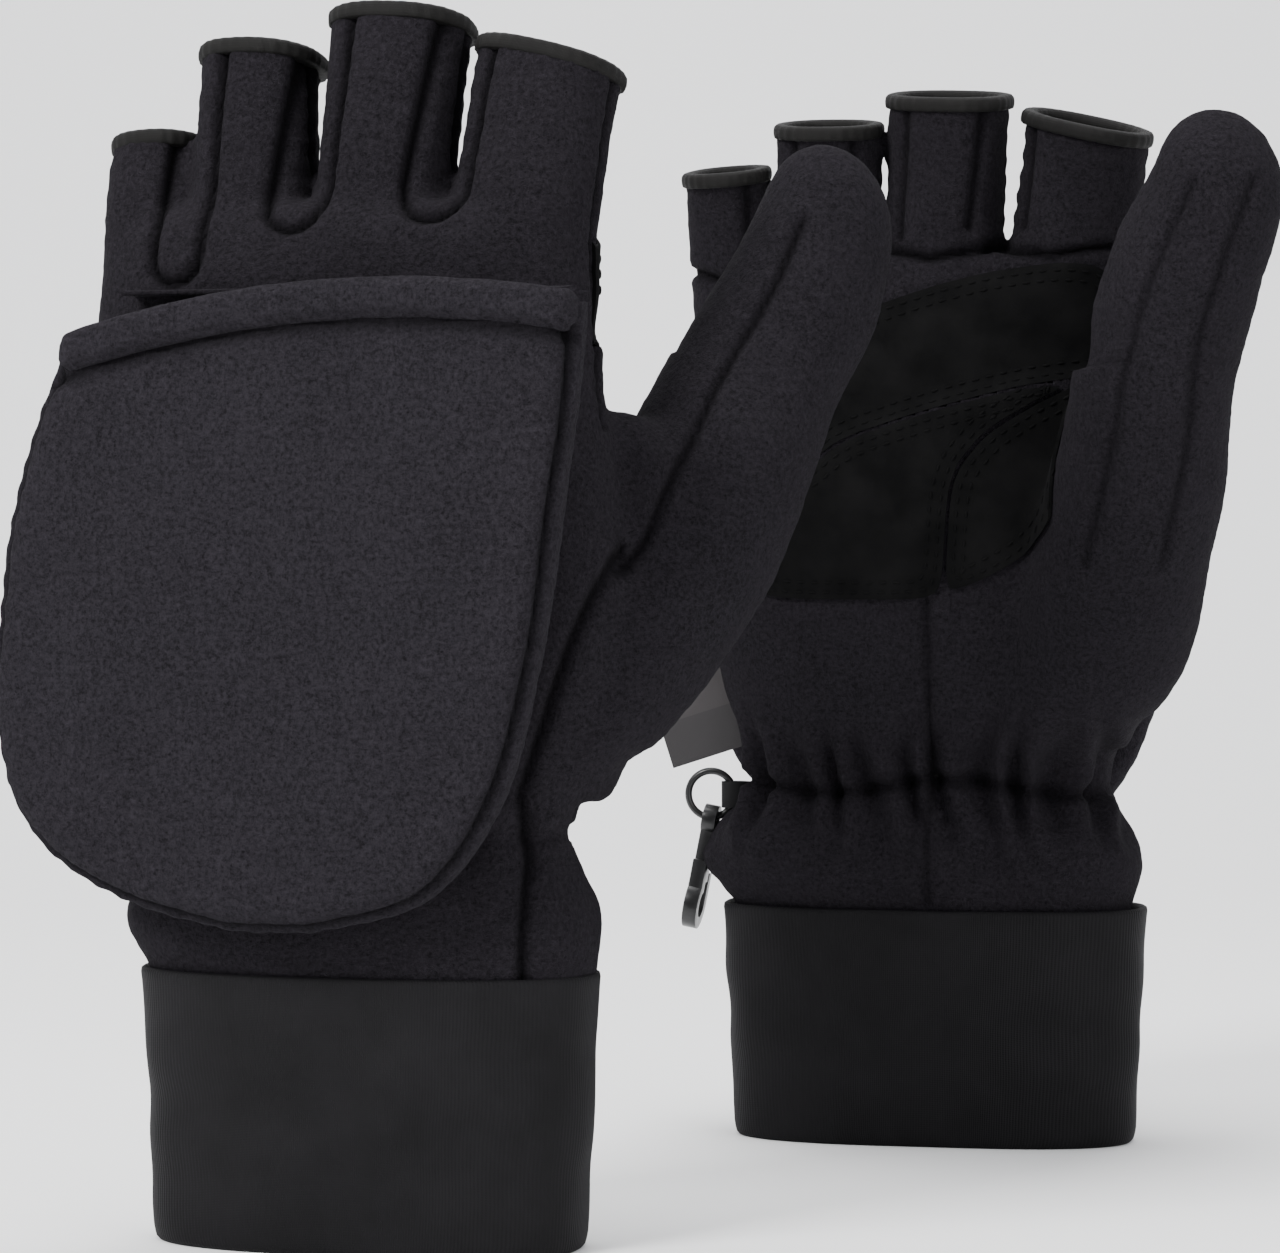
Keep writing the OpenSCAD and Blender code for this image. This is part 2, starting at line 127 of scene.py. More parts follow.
def thumb_spread(z, side):
    return THUMB_SPREAD[side] * np.clip((z - 95) / 40, 0, 1)


def thumb_rise(z, side):
    """A thumb held close to the hand stands higher than one held out."""
    return (4.4 - THUMB_SPREAD[side]) * 1.5 * np.clip((z - 124) / 80, 0, 1)


def thumb_rows(side, count):
    rows = smooth_rows(THUMB_ROWS, count)
    lean = {LEFT: ([84, 92, 104, 120, 172, 200, 206], [3, 3, 1.5, 0, 0, 2.2, 3.2]),
            RIGHT: ([110, 134, 150, 175, 190, 200, 206], [0, -1.2, -1.2, -3.2, -2.6, 0.8, 2.6])}[side]
    rows[:, 1] += thumb_spread(rows[:, 0], side) + np.interp(rows[:, 0], *lean)
    rows[:, 0] += thumb_rise(rows[:, 0], side)
    return rows


def hand_rows(side, count):
    """The wrist's fold stands out a little more on the right glove."""
    rows = smooth_rows(HAND_ROWS, count)
    near = np.exp(-((rows[:, 0] - 66) / 9) ** 2)
    centre, half = (0.5, -1.7) if side == LEFT else (0.3, 2.6)
    rows[:, 1] += centre * near
    rows[:, 3] += half * near
    return rows


print("hand rows after smoothing:", len(smooth_rows(HAND_ROWS, 48)))

# %% [markdown]
# Every tube of the glove starts as a row of circles. Each is pressed to a soft oval and put in its place,
# and bridge_loops skins one ring to the next. The ends are filled, so the form is closed.

# %% Rings and tubes
def soft_oval(bm, centre, half_w, half_d, turn_x=0.0, turn_y=0.0, power=2.3, points=48):
    ring = bmesh.ops.create_circle(bm, segments=points, radius=1.0)["verts"]
    turn = Matrix.Rotation(math.radians(turn_y), 3, "Y") @ Matrix.Rotation(math.radians(turn_x), 3, "X")
    for v in ring:
        c, s = v.co.x, v.co.y
        flat = Vector((math.copysign(abs(c) ** (2 / power), c) * half_w,
                       math.copysign(abs(s) ** (2 / power), s) * half_d, 0))
        v.co = Vector(centre) + turn @ flat
    inside = set(ring)
    return [e for e in bm.edges if e.verts[0] in inside and e.verts[1] in inside]


def tube(bm, rings, close=True):
    made = [soft_oval(bm, **ring) for ring in rings]
    for low, high in zip(made, made[1:]):
        bmesh.ops.bridge_loops(bm, edges=low + high)
    if close:
        bmesh.ops.holes_fill(bm, edges=made[0] + made[-1])
    return made


def mesh_object(name, bm):
    bmesh.ops.recalc_face_normals(bm, faces=bm.faces)
    mesh = bpy.data.meshes.new(name)
    bm.to_mesh(mesh)
    bm.free()
    ob = bpy.data.objects.new(name, mesh)
    bpy.context.scene.collection.objects.link(ob)
    return ob


def smooth(ob, sharp_over=None):
    """Shades the object smoothly, with hard edges only where faces meet at more than sharp_over degrees."""
    for p in ob.data.polygons:
        p.use_smooth = True
    if sharp_over:
        ob.data.set_sharp_from_angle(angle=math.radians(sharp_over))


def with_modifiers(ob):
    """Applies the object's modifiers to its mesh."""
    evaluated = ob.evaluated_get(bpy.context.evaluated_depsgraph_get())
    mesh = bpy.data.meshes.new_from_object(evaluated)
    ob.modifiers.clear()
    old, ob.data = ob.data, mesh
    bpy.data.meshes.remove(old)
    return ob


# %% [markdown]
# The hand, four fingers and thumb overlap as separate closed tubes. A voxel remesh melts them into one
# skin, and a little smoothing turns the hard joins into the soft valleys that sewn fleece has.

# %% One skin for the whole hand
SKIN_VOXEL = 1.0


def hand_form(side):
    bm = bmesh.new()
    tube(bm, [dict(centre=(r[1], r[2], r[0]), half_w=r[3], half_d=r[4], power=2.5, points=72)
              for r in hand_rows(side, 44)]
         + [dict(centre=(-4.2, 1.5, KNUCKLE_Z + 1.5), half_w=45, half_d=12.5, power=2.5, points=72)])
    for name, (x0, x1, top, w0, w1, depth, slope) in FINGERS.items():
        tube(bm, [dict(centre=finger_point(name, t, side), half_w=w0 + (w1 - w0) * t, half_d=depth,
                       turn_x=-CURL_DEG * t, turn_y=slope * t, points=40) for t in np.linspace(0, 1.08, 9)])
    rows = thumb_rows(side, 26)
    z_end, x_end, y_end, r_end = rows[-1]
    for a in np.radians([18, 36, 52, 66, 78, 88]):
        cap = [z_end + r_end * math.sin(a), x_end + 2.6 * math.sin(a), y_end + 3 * math.sin(a),
               max(0.6, r_end * math.cos(a))]
        rows = np.vstack([rows, cap])
    lean = np.clip((rows[:, 0] - 88) * 0.6, 0, 28)
    tube(bm, [dict(centre=(r[1], r[2], r[0]), half_w=r[3], half_d=r[3], turn_x=-k,
                   turn_y=k * 0.8, power=2.0, points=40) for r, k in zip(rows, lean)])
    tube(bm, [dict(centre=(44.5 + (160 - z) * 0.06, 14, z), half_w=r * 1.25, half_d=r, points=32)
              for z, r in ((118, 11), (134, 12), (146, 11), (152, 9.4), (156.5, 7), (159.3, 4),
                           (160.4, 1.2))])
    ob = mesh_object("hand form " + side, bm)
    melt = ob.modifiers.new("melt", "REMESH")
    melt.mode, melt.voxel_size = "VOXEL", SKIN_VOXEL
    return with_modifiers(ob)


def points_of(mesh):
    co = np.empty(len(mesh.vertices) * 3)
    mesh.vertices.foreach_get("co", co)
    return co.reshape(-1, 3)


def set_points(mesh, co):
    mesh.vertices.foreach_set("co", np.asarray(co, float).ravel())
    mesh.update()


def normals_of(mesh):
    out = np.empty(len(mesh.vertices) * 3)
    mesh.vertices.foreach_get("normal", out)
    return out.reshape(-1, 3)


def relax(mesh, rounds, amount=0.5):
    """Moves each point towards the middle of its neighbours."""
    edges = np.empty(len(mesh.edges) * 2, int)
    mesh.edges.foreach_get("vertices", edges)
    a, b = edges.reshape(-1, 2).T
    co = points_of(mesh)
    count = np.bincount(a, minlength=len(co)) + np.bincount(b, minlength=len(co))
    for _ in range(rounds):
        total = np.zeros_like(co)
        for k in range(3):
            total[:, k] = (np.bincount(a, co[b, k], len(co)) + np.bincount(b, co[a, k], len(co)))
        co += amount * (total / count[:, None] - co)
    set_points(mesh, co)


skins = {side: hand_form(side) for side in (LEFT, RIGHT)}
for ob in skins.values():
    relax(ob.data, int(26 / SKIN_VOXEL ** 2))
    print(ob.name, len(ob.data.vertices), "points")

# %% [markdown]
# Seams pull the fleece down into narrow valleys. Each seam is a line drawn on the face it belongs to, and
# every point of the skin near the line sinks by an amount that fades with distance.

# %% Lines of the seams
SEAM_X = np.array([(34, 40), (34.5, 75), (33, 87), (35.5, 94), (39, 104), (43, 116), (47, 126), (50, 134),
                   (51.5, 150)])
CROTCHES = {"little": (-40.6, -30.2, 184, 1), "ring": (-18.2, -7.2, 194, 5), "index": (8.4, 19.6, 196, 8)}
BACK, PALM = -1.0, 1.0


def side_y(z):
    return 0.6 + 8.4 * np.clip((z - 176) / 58, 0, 1.1) ** 2


def crotch_line(name, inset=0.0):
    """The U-shaped seam round the strip between two fingers."""
    x0, x1, low, lean = CROTCHES[name]
    half = (x1 - x0) / 2 - inset
    u = [(-half, 46), (-half, 30), (-half, half)] + [(half * math.sin(a), half - half * math.cos(a))
         for a in np.radians([-60, -30, 0, 30, 60])] + [(half, half), (half, 30), (half, 46)]
    k = math.radians(lean)
    middle = (x0 + x1) / 2
    return np.array([(middle + a * math.cos(k) + b * math.sin(k), low + b * math.cos(k) - a * math.sin(k))
                     for a, b in u])


def thumb_line(side, share):
    rows = thumb_rows(side, 20)
    rows = rows[rows[:, 0] > 124]
    return np.column_stack([rows[:, 1] + share * rows[:, 3], rows[:, 0]])


def line_distance(co, line):
    """Distance in the x-z view from each point to a run of straight pieces, and the way along it."""
    best, along, walked = np.full(len(co), 1e9), np.zeros(len(co)), 0.0
    p = co[:, [0, 2]]
    for a, b in zip(line, line[1:]):
        d = b - a
        length = np.hypot(*d)
        t = np.clip((p - a) @ d / length ** 2, 0, 1)
        gap = np.hypot(*(p - (a + t[:, None] * d)).T)
        near = gap < best
        best[near], along[near] = gap[near], walked + t[near] * length
        walked += length
    return best, along


def valley(gap, along, depth, width=1.05, pucker=0.25, pitch=4.6):
    """A sewn seam: a narrow groove, and small puckers beside it."""
    swell = np.exp(-((gap - 2.4) / 1.6) ** 2) * (0.5 + 0.5 * np.cos(2 * math.pi * along / pitch))
    return -depth * np.exp(-(gap / width) ** 2) + pucker * swell


print("seam lines ready:", len(SEAM_X), "points down the side seam")

# %% [markdown]
# Fleece is never flat: it has slow swells where it stands away from the hand, and a pebbled nap of small
# tufts. Both come from noise that moves the points themselves, so they show on the outline too.

# %% Swells and nap
def noise_at(co, size, seed, octaves=1):
    shift = Vector((seed * 37.1, seed * 11.7, seed * 5.3))
    if octaves == 1:
        return np.array([noise.noise(Vector(c) / size + shift) for c in co])
    return np.array([noise.fractal(Vector(c) / size + shift, 0.6, 2.1, octaves) for c in co])


def fleece_relief(co, seed, swell=0.55, nap=0.16):
    return (swell * noise_at(co, 26.0, seed) + 0.45 * swell * noise_at(co, 10.0, seed + 3)
            + nap * noise_at(co, 2.7, seed + 7, 2))


def paint_seam_shade(mesh, dark):
    """Keeps painted shade for the cloth's colour: how far each point lies in the shade of a seam groove or
    crease.
    """
    mesh.attributes.new("seam", "FLOAT", "POINT").data.foreach_set("value", np.asarray(dark, np.float32))


def shape_skin(ob, side):
    mesh = ob.data
    co, nor = points_of(mesh), normals_of(mesh)
    x, y, z = co.T
    front = np.where(y < side_y(z), BACK, PALM)
    out = fleece_relief(co, 1 if side == LEFT else 2)
    back, palm = front == BACK, front == PALM
    lines = [(SEAM_X, back, 1.5), (thumb_line(side, -0.12), nor[:, 1] < 0.15, 1.3),
             (np.array([(1, 122), (1.5, 90), (1, 55)]), palm, 0.9),
             (thumb_line(side, -0.3), nor[:, 1] > 0.15, 0.8), (thumb_line(side, 0.55), nor[:, 1] > 0.1, 0.8)]
    lines += [(crotch_line(n), back & (z > c[2] - 2), 1.8) for n, c in CROTCHES.items()]
    lines += [(crotch_line(n), palm & (z > c[2] + 8), 1.2) for n, c in CROTCHES.items()]
    lines += [(np.array([(f[0] - f[3], 200 + k), (f[0], 197 + k), (f[0] + f[3], 199 + k)]), palm, 1.9)
              for f, k in zip(FINGERS.values(), (-4, 0, 1, 1))]
    # dark gathers painted shade: the cloth's colour darkens in the seam grooves, where shade falls
    dark = np.zeros(len(co))
    for line, where, depth in lines:
        gap, along = line_distance(co, line)
        out += np.where(where, valley(gap, along, depth), 0)
        dark = np.maximum(dark, np.where(where, np.exp(-(gap / 0.9) ** 2) * min(1.0, depth / 1.6), 0))
    edge = np.abs(y - side_y(z))
    sides = (nor[:, 0] < -0.3) | ((nor[:, 0] > 0.5) & (z > 156) & (x < 52))
    out += np.where(sides, valley(edge, z, 1.1), 0)
    dark = np.maximum(dark, np.where(sides, np.exp(-(edge / 1.0) ** 2), 0))
    # the elastic inside the wrist draws the palm side into upright pleats
    rise = np.exp(-((z - 81) / 10.5) ** 2) * np.clip((y + 2) / 8, 0, 1)
    pleat = np.cos(2 * math.pi * (x + 1.8 * np.sin(z * 0.16 + x * 0.05)) / 8.6 + 0.9 * np.sin(x * 0.31))
    draw = np.exp(-((z - 80.5 - 1.6 * np.sin(x * 0.11 + 1)) / 1.6) ** 2)
    out += rise * (2.7 * pleat - 3.1 * draw)
    # painted shade in the crease that the elastic draws in
    dark = np.maximum(dark, 0.35 * draw * np.clip((y + 2) / 8, 0, 1))
    # the palm folds under the knuckles, and the skirt below the elastic hangs in a few broad folds
    crease = np.array([(-44, 150), (-28, 150), (-19, 158), (-1, 164), (20, 169.5), (40, 172)])
    fold, _ = line_distance(co, crease)
    above = z > np.interp(x, crease[:, 0], crease[:, 1])
    out += (np.where(palm & above, -1.9 * np.exp(-((fold - 3) / 7) ** 2), 0)
            + np.where(palm & ~above, 0.8 * np.exp(-(fold / 5) ** 2), 0))
    hang = np.exp(-((z - 66) / 8) ** 2) * np.clip((y + 4) / 10, 0, 1)
    out += hang * 2.0 * np.cos((x + 0.9 * (z - 66)) / 5.2 + 0.7 * np.sin(x / 9))
    # softer folds round the rest of the wrist
    ring = np.exp(-((z - 80) / 7) ** 2) * np.clip((2 - y) / 8, 0, 1)
    out += ring * (0.5 * np.cos(x * 0.62 + 1.3) - 0.8 * np.exp(-((z - 80) / 1.9) ** 2))
    set_points(mesh, co + nor * out[:, None])
    paint_seam_shade(mesh, dark)
    return ob


for side, ob in skins.items():
    shape_skin(ob, side)
print("skins shaped")

# %% [markdown]
# The finger ends are cut with a plane square to each finger, and the wrist with a level one. bisect_plane
# cuts the faces cleanly, so the bound edge that comes later sits on a true line.

# %% Cut the finger ends and the wrist
BIND_H = 2.8


def finger_axes(name):
    slope = FINGERS[name][6]
    return (Matrix.Rotation(math.radians(slope), 3, "Y") @ Matrix.Rotation(math.radians(-CURL_DEG), 3, "X"))


def cut_ends(bm, side):
    for name, (x0, x1, top, w0, w1, depth, slope) in FINGERS.items():
        end, axes = finger_point(name, 1.0, side), finger_axes(name)
        back = axes.transposed()

        def beside(p):
            q = back @ (p - end)
            return abs(q.x) < w1 + 1.6 and abs(q.y) < depth + 3 and q.z > -9
        faces = [f for f in bm.faces if f.calc_center_median().z > 196 and beside(f.calc_center_median())]
        geom = list({v for f in faces for v in f.verts}) + list({e for f in faces for e in f.edges}) + faces
        bmesh.ops.bisect_plane(bm, geom=geom, plane_co=end - axes @ Vector((0, 0, BIND_H - 0.9)),
                               plane_no=axes @ Vector((0, 0, 1)), clear_outer=True)
    bmesh.ops.bisect_plane(bm, geom=bm.verts[:] + bm.edges[:] + bm.faces[:], plane_co=(0, 0, 47),
                           plane_no=(0, 0, -1), clear_outer=True)


cut = {}
for side, ob in skins.items():
    bm = bmesh.new()
    bm.from_mesh(ob.data)
    cut_ends(bm, side)
    cut[side] = bm
    print(side, "skin cut:", len(bm.faces), "faces")

# %% [markdown]
# The skin is divided where the real panels meet. A panel is the same skin with every other face deleted,
# then given the fleece's thickness inwards, so neighbours still meet exactly at their seam.

# %% Which panel a face belongs to
FLEECE_T = 2.0
THUMB_LINES = {side: thumb_rows(side, 20) for side in (LEFT, RIGHT)}


def panel_of(c, side):
    x, y, z = c
    if z > 98 and x * math.cos(math.radians(37)) + y * math.sin(math.radians(37)) > 46.6:
        line = np.interp(z, THUMB_LINES[side][:, 0], THUMB_LINES[side][:, 1]) - 3
        return "thumb_inner" if x < line and z > 100 else "thumb_outer"
    for name, (x0, x1, low, lean) in CROTCHES.items():
        if z > low:
            k = math.radians(lean)
            dx, dz = x - (x0 + x1) / 2, z - low
            u, w = dx * math.cos(k) - dz * math.sin(k), dx * math.sin(k) + dz * math.cos(k)
            half = (x1 - x0) / 2
            if abs(u) < half and (w > half or math.hypot(u, w - half) < half):
                return "fourchette_" + name
    if y < side_y(z) and (z > 154 or x < np.interp(z, SEAM_X[:, 1], SEAM_X[:, 0])):
        return "back_panel"
    return "palm_panel"


def thicken(ob, thickness=FLEECE_T):
    wall = ob.modifiers.new("wall", "SOLIDIFY")
    wall.thickness, wall.offset = thickness, -1.0
    with_modifiers(ob)
    smooth(ob, 52)
    return ob


def settle(ob, side):
    """Moves a finished mesh from the glove's own measure to its place, in metres."""
    ob.data.transform(glove_place(side))
    if side == RIGHT:
        ob.data.flip_normals()
    return ob


def finish_piece(ob, side, body, nodes, material):
    settle(ob, side)
    ob.name = ob.name.replace(" ", ".")
    ob.data.materials.clear()
    ob.data.materials.append(material)
    if body:
        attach(ob, body)
    if nodes:
        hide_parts(*nodes)
    return ob


print("panels: back, palm, thumb inner, thumb outer and three strips between fingers")

# %% [markdown]
# Fleece takes its look from three scales: tufts a few millimetres across that catch the light, a fine
# fuzz, and a soft sheen at grazing angles. One recipe serves all the fleece, with small changes of tone.

# %% Materials
def new_material(name, rough, sheen=0.0, specular=0.5):
    mat = bpy.data.materials.new(name)
    mat.use_nodes = True
    shader = mat.node_tree.nodes["Principled BSDF"]
    shader.inputs["Roughness"].default_value = rough
    shader.inputs["Sheen Weight"].default_value = sheen
    shader.inputs["Sheen Roughness"].default_value = 0.45
    shader.inputs["Sheen Tint"].default_value = (0.75, 0.72, 0.80, 1)
    shader.inputs["Specular IOR Level"].default_value = specular
    return mat, mat.node_tree, shader


def node(tree, kind, **values):
    made = tree.nodes.new(kind)
    for key, value in values.items():
        if hasattr(made, key):
            setattr(made, key, value)
        else:
            made.inputs[key.replace("_", " ").title()].default_value = value
    return made


def noise_node(tree, scale, detail=2.0, rough=0.6):
    coords = tree.nodes.get("Texture Coordinate") or tree.nodes.new("ShaderNodeTexCoord")
    made = node(tree, "ShaderNodeTexNoise", scale=scale, detail=detail, roughness=rough)
    tree.links.new(coords.outputs["Object"], made.inputs["Vector"])
    return made


def ramp_node(tree, source, stops):
    made = tree.nodes.new("ShaderNodeValToRGB")
    tree.links.new(source, made.inputs["Fac"])
    ramp = made.color_ramp
    while len(ramp.elements) < len(stops):
        ramp.elements.new(0.5)
    for element, (at, colour) in zip(ramp.elements, stops):
        element.position = at
        element.color = (*colour, 1)
    return made


def bump_chain(tree, shader, layers):
    """Stacks bump layers: (height output, strength, distance in metres)."""
    below = None
    for height, strength, distance in layers:
        bump = tree.nodes.new("ShaderNodeBump")
        bump.inputs["Strength"].default_value = strength
        bump.inputs["Distance"].default_value = distance
        tree.links.new(height, bump.inputs["Height"])
        if below is not None:
            tree.links.new(below.outputs["Normal"], bump.inputs["Normal"])
        below = bump
    tree.links.new(below.outputs["Normal"], shader.inputs["Normal"])


def fleece_material(name, dark, light, sheen=0.25):
    mat, tree, shader = new_material(name, 0.95, sheen, 0.03)
    tufts, fuzz = noise_node(tree, 1150, 4, 0.7), noise_node(tree, 3600, 2, 0.7)
    patches = noise_node(tree, 60, 2)
    mix = tree.nodes.new("ShaderNodeMath")
    mix.operation = "MULTIPLY_ADD"
    tree.links.new(fuzz.outputs["Fac"], mix.inputs[0])
    mix.inputs[1].default_value = 0.45
    tree.links.new(tufts.outputs["Fac"], mix.inputs[2])
    wide = tree.nodes.new("ShaderNodeMath")
    wide.operation = "MULTIPLY_ADD"
    tree.links.new(patches.outputs["Fac"], wide.inputs[0])
    wide.inputs[1].default_value = 0.10
    tree.links.new(mix.outputs[0], wide.inputs[2])
    ramp = ramp_node(tree, wide.outputs[0], [(0.56, dark), (0.98, light)])
    # painted shade: the colour darkens to half the dark tone where the seam attribute marks a groove or
    # crease
    seam = tree.nodes.new("ShaderNodeAttribute")
    seam.attribute_name = "seam"
    shade = tree.nodes.new("ShaderNodeMix")
    shade.data_type = "RGBA"
    tree.links.new(seam.outputs["Fac"], shade.inputs[0])
    tree.links.new(ramp.outputs["Color"], shade.inputs[6])
    shade.inputs[7].default_value = (*(c * 0.5 for c in dark), 1)
    tree.links.new(shade.outputs[2], shader.inputs["Base Color"])
    bump_chain(tree, shader, [(tufts.outputs["Fac"], 0.8, 0.0009), (fuzz.outputs["Fac"], 0.8, 0.0003)])
    return mat


FLEECE = fleece_material("fleece", (0.0055, 0.005, 0.0059), (0.0196, 0.0174, 0.0212), 0.012)
FLEECE_HOOD = fleece_material("hood fleece", (0.0068, 0.0062, 0.0074), (0.025, 0.0225, 0.0272), 0.014)


def suede_material():
    mat, tree, shader = new_material("suede", 0.9, 0.006, 0.05)
    grain, clouds = noise_node(tree, 1500, 4, 0.7), noise_node(tree, 90, 3)
    ramp = ramp_node(tree, clouds.outputs["Fac"],
                     [(0.35, (0.0028, 0.0028, 0.0029)), (0.7, (0.0058, 0.0057, 0.0058))])
    tree.links.new(ramp.outputs["Color"], shader.inputs["Base Color"])
    bump_chain(tree, shader, [(grain.outputs["Fac"], 0.5, 0.0003), (clouds.outputs["Fac"], 0.25, 0.0012)])
    return mat


def wave_height(tree, vector, scale, direction="X"):
    wave = tree.nodes.new("ShaderNodeTexWave")
    wave.wave_type, wave.bands_direction, wave.wave_profile = "BANDS", direction, "SIN"
    wave.inputs["Scale"].default_value = scale
    wave.inputs["Distortion"].default_value = 0.4
    wave.inputs["Detail Scale"].default_value = 2.0
    tree.links.new(vector, wave.inputs["Vector"])
    return wave


def knit_material(name, columns, colour, rough=0.72):
    """Fine columns of knit, drawn on the piece's own UV map, whose unit is one column."""
    mat, tree, shader = new_material(name, rough, 0.006, 0.12)
    uv = tree.nodes.new("ShaderNodeUVMap")
    uv.uv_map = "cloth"
    col = wave_height(tree, uv.outputs["UV"], columns, "X")
    row = wave_height(tree, uv.outputs["UV"], columns * 1.3, "Y")
    cloud = noise_node(tree, 60, 3)
    dark, light = tuple(c * 0.75 for c in colour), tuple(c * 1.35 for c in colour)
    ramp = ramp_node(tree, cloud.outputs["Fac"], [(0.3, dark), (0.75, light)])
    tree.links.new(ramp.outputs["Color"], shader.inputs["Base Color"])
    bump_chain(tree, shader, [(col.outputs["Fac"], 0.35, 0.00025), (row.outputs["Fac"], 0.15, 0.00012),
                              (cloud.outputs["Fac"], 0.2, 0.001)])
    return mat


def plain_material(name, colour, rough, specular=0.5, grain=0.0):
    mat, tree, shader = new_material(name, rough, 0.0, specular)
    cloud = noise_node(tree, 350, 3)
    ramp = ramp_node(tree, cloud.outputs["Fac"], [(0.3, tuple(c * 0.8 for c in colour)), (0.8, tuple(c * 1.25
                                                                                      for c in colour))])
    tree.links.new(ramp.outputs["Color"], shader.inputs["Base Color"])
    if grain:
        bump_chain(tree, shader, [(cloud.outputs["Fac"], grain, 0.0002)])
    return mat


SUEDE = suede_material()
CUFF_KNIT = knit_material("cuff knit", 0.5, (0.0052, 0.0049, 0.0056))
BINDING = knit_material("stretch binding", 0.5, (0.0075, 0.0072, 0.0068), 0.65)
WEBBING = knit_material("webbing", 0.5, (0.008, 0.008, 0.0085), 0.6)
PLASTIC = plain_material("clip plastic", (0.006, 0.006, 0.0065), 0.32, 0.5, 0.05)
THREAD = plain_material("thread", (0.07, 0.07, 0.066), 0.55)
print("materials:", [m.name for m in bpy.data.materials])

# %% [markdown]
# Now the panels themselves: each copy of the cut skin keeps one panel's faces.

# %% Build the fleece panels of both gloves
def build_panels(side):
    source = cut[side]
    names = [panel_of(f.calc_center_median(), side) for f in source.faces]
    made = {}
    for panel in sorted(set(names)):
        bm = source.copy()
        bm.faces.ensure_lookup_table()
        bmesh.ops.delete(bm, geom=[bm.faces[i] for i, n in enumerate(names) if n != panel], context="FACES")
        mesh = bpy.data.meshes.new(side + " " + panel)
        bm.to_mesh(mesh)
        bm.free()
        ob = bpy.data.objects.new(side + " " + panel.replace("_", " "), mesh)
        bpy.context.scene.collection.objects.link(ob)
        thicken(ob)
        finish_piece(ob, side, side + "_glove", [f"{side}_{panel}"], FLEECE)
        made[panel] = ob
        print("  ", ob.name, len(ob.data.polygons), "faces")
    return made


for side in (LEFT, RIGHT):
    build_panels(side)
for ob in skins.values():
    bpy.data.objects.remove(ob)

# %% [markdown]
# The cut finger ends are wrapped in stretch binding, and the cuff is a knit tube folded double. Both are
# made the same way: rings round the opening, one for each point of the wall's profile, bridged in turn.

# %% A band round an opening
def add_cloth_uv(bm, per_mm=1.0):
    """A UV map for a band: across is the way round, in millimetres; up is the height."""
    layer = bm.loops.layers.uv.new("cloth")
    for f in bm.faces:
        c = f.calc_center_median()
        mid = math.atan2(c.y, c.x)
        for loop in f.loops:
            a = math.atan2(loop.vert.co.y, loop.vert.co.x)
            a += round((mid - a) / (2 * math.pi)) * 2 * math.pi
            height = loop.vert.co.z + loop.vert.co.to_2d().length * 0.2
            loop[layer].uv = (a * 36.0 * per_mm, height * per_mm)


def band(name, profile, half_w, half_d, points, power=2.3, wobble=None, per_mm=1.0):
    """profile is a closed run of (outwards, up) points of the wall; wobble moves a point by its place."""
    bm = bmesh.new()
    rings = tube(bm, [dict(centre=(0, 0, up), half_w=half_w + out, half_d=half_d + out, power=power,
                           points=points) for out, up in profile], close=False)
    bmesh.ops.bridge_loops(bm, edges=rings[0] + rings[-1])
    if wobble:
        for v in bm.verts:
            v.co = wobble(v.co)
    bmesh.ops.recalc_face_normals(bm, faces=bm.faces)
    add_cloth_uv(bm, per_mm)
    ob = mesh_object(name, bm)
    smooth(ob)
    return ob


BINDING_PROFILE = [(0.25, -2.9), (0.62, -2.7), (0.8, -2.0), (0.85, -1.2), (0.72, -0.4), (0.25, 0.15),
                   (-0.6, 0.32), (-1.5, 0.28), (-2.3, -0.1), (-2.7, -0.9), (-2.75, -2.6), (-2.0, -2.9)]


def finger_binding(side, name):
    w1, depth = FINGERS[name][4], FINGERS[name][5]

    def wobble(co):
        push = 0.16 * noise.noise(co / 5.0 + Vector((w1, 0, 0))) + 0.1 * math.sin(math.atan2(co.y, co.x) * 33)
        return co * (1 + push / 12)
    ob = band(f"{side} {name} binding", BINDING_PROFILE, w1, depth, 132, wobble=wobble)
    ob.data.transform(Matrix.Translation(finger_point(name, 1.0, side)) @ finger_axes(name).to_4x4())
    return finish_piece(ob, side, side + "_glove", [f"{side}_binding_{name}"], BINDING)


for side in (LEFT, RIGHT):
    for name in FINGERS:
        finger_binding(side, name)
print("bound ends:", 2 * len(FINGERS))

# %% [markdown]
# The cuff stands on its fold. Its wall leans in a little towards the floor, its upper edge turns over, and
# soft level waves run round it, because knit that is folded double never lies quite flat.

# %% Cuffs
CUFF_HW, CUFF_HD, CUFF_T = 46.4, 22.6, 2.6


def cuff_profile():
    outer = [(-1.5, 0.0), (-0.8, 0.15), (-0.35, 0.7), (-0.15, 1.6)]
    outer += [(0.0, z) for z in np.linspace(3, CUFF_H - 2.4, 26)]
    top = [(0.05, CUFF_H - 1.2), (-0.15, CUFF_H - 0.4), (-0.7, CUFF_H - 0.05), (-1.3, CUFF_H - 0.15),
           (-1.9, CUFF_H - 0.6), (-2.25, CUFF_H - 1.4)]
    inner = [(-CUFF_T, z) for z in np.linspace(CUFF_H - 4, 2.4, 14)]
    inner += [(-CUFF_T + 0.3, 0.9), (-CUFF_T + 0.8, 0.2)]
    return outer + top + inner


def cuff_wobble(seed):
    def move(co):
        lean = 3.0 * (1 - co.z / CUFF_H)
        middle = math.sin(math.pi * min(1, max(0, co.z / CUFF_H)))
        around = math.atan2(co.y * 2, co.x)
        ca, sa = math.cos(around), math.sin(around)
        wave = (0.75 * noise.noise(Vector((ca * 1.3, sa * 1.3, co.z / 11 + seed)))
                + 0.5 * noise.noise(Vector((ca * 2.6, sa * 2.6, co.z / 24 + seed * 3))))
        out = -lean * 0.9 + wave * middle * 1.15
        reach = co.to_2d().length
        return Vector((co.x * (1 + out / reach), co.y * (1 + out / reach), co.z))
    return move


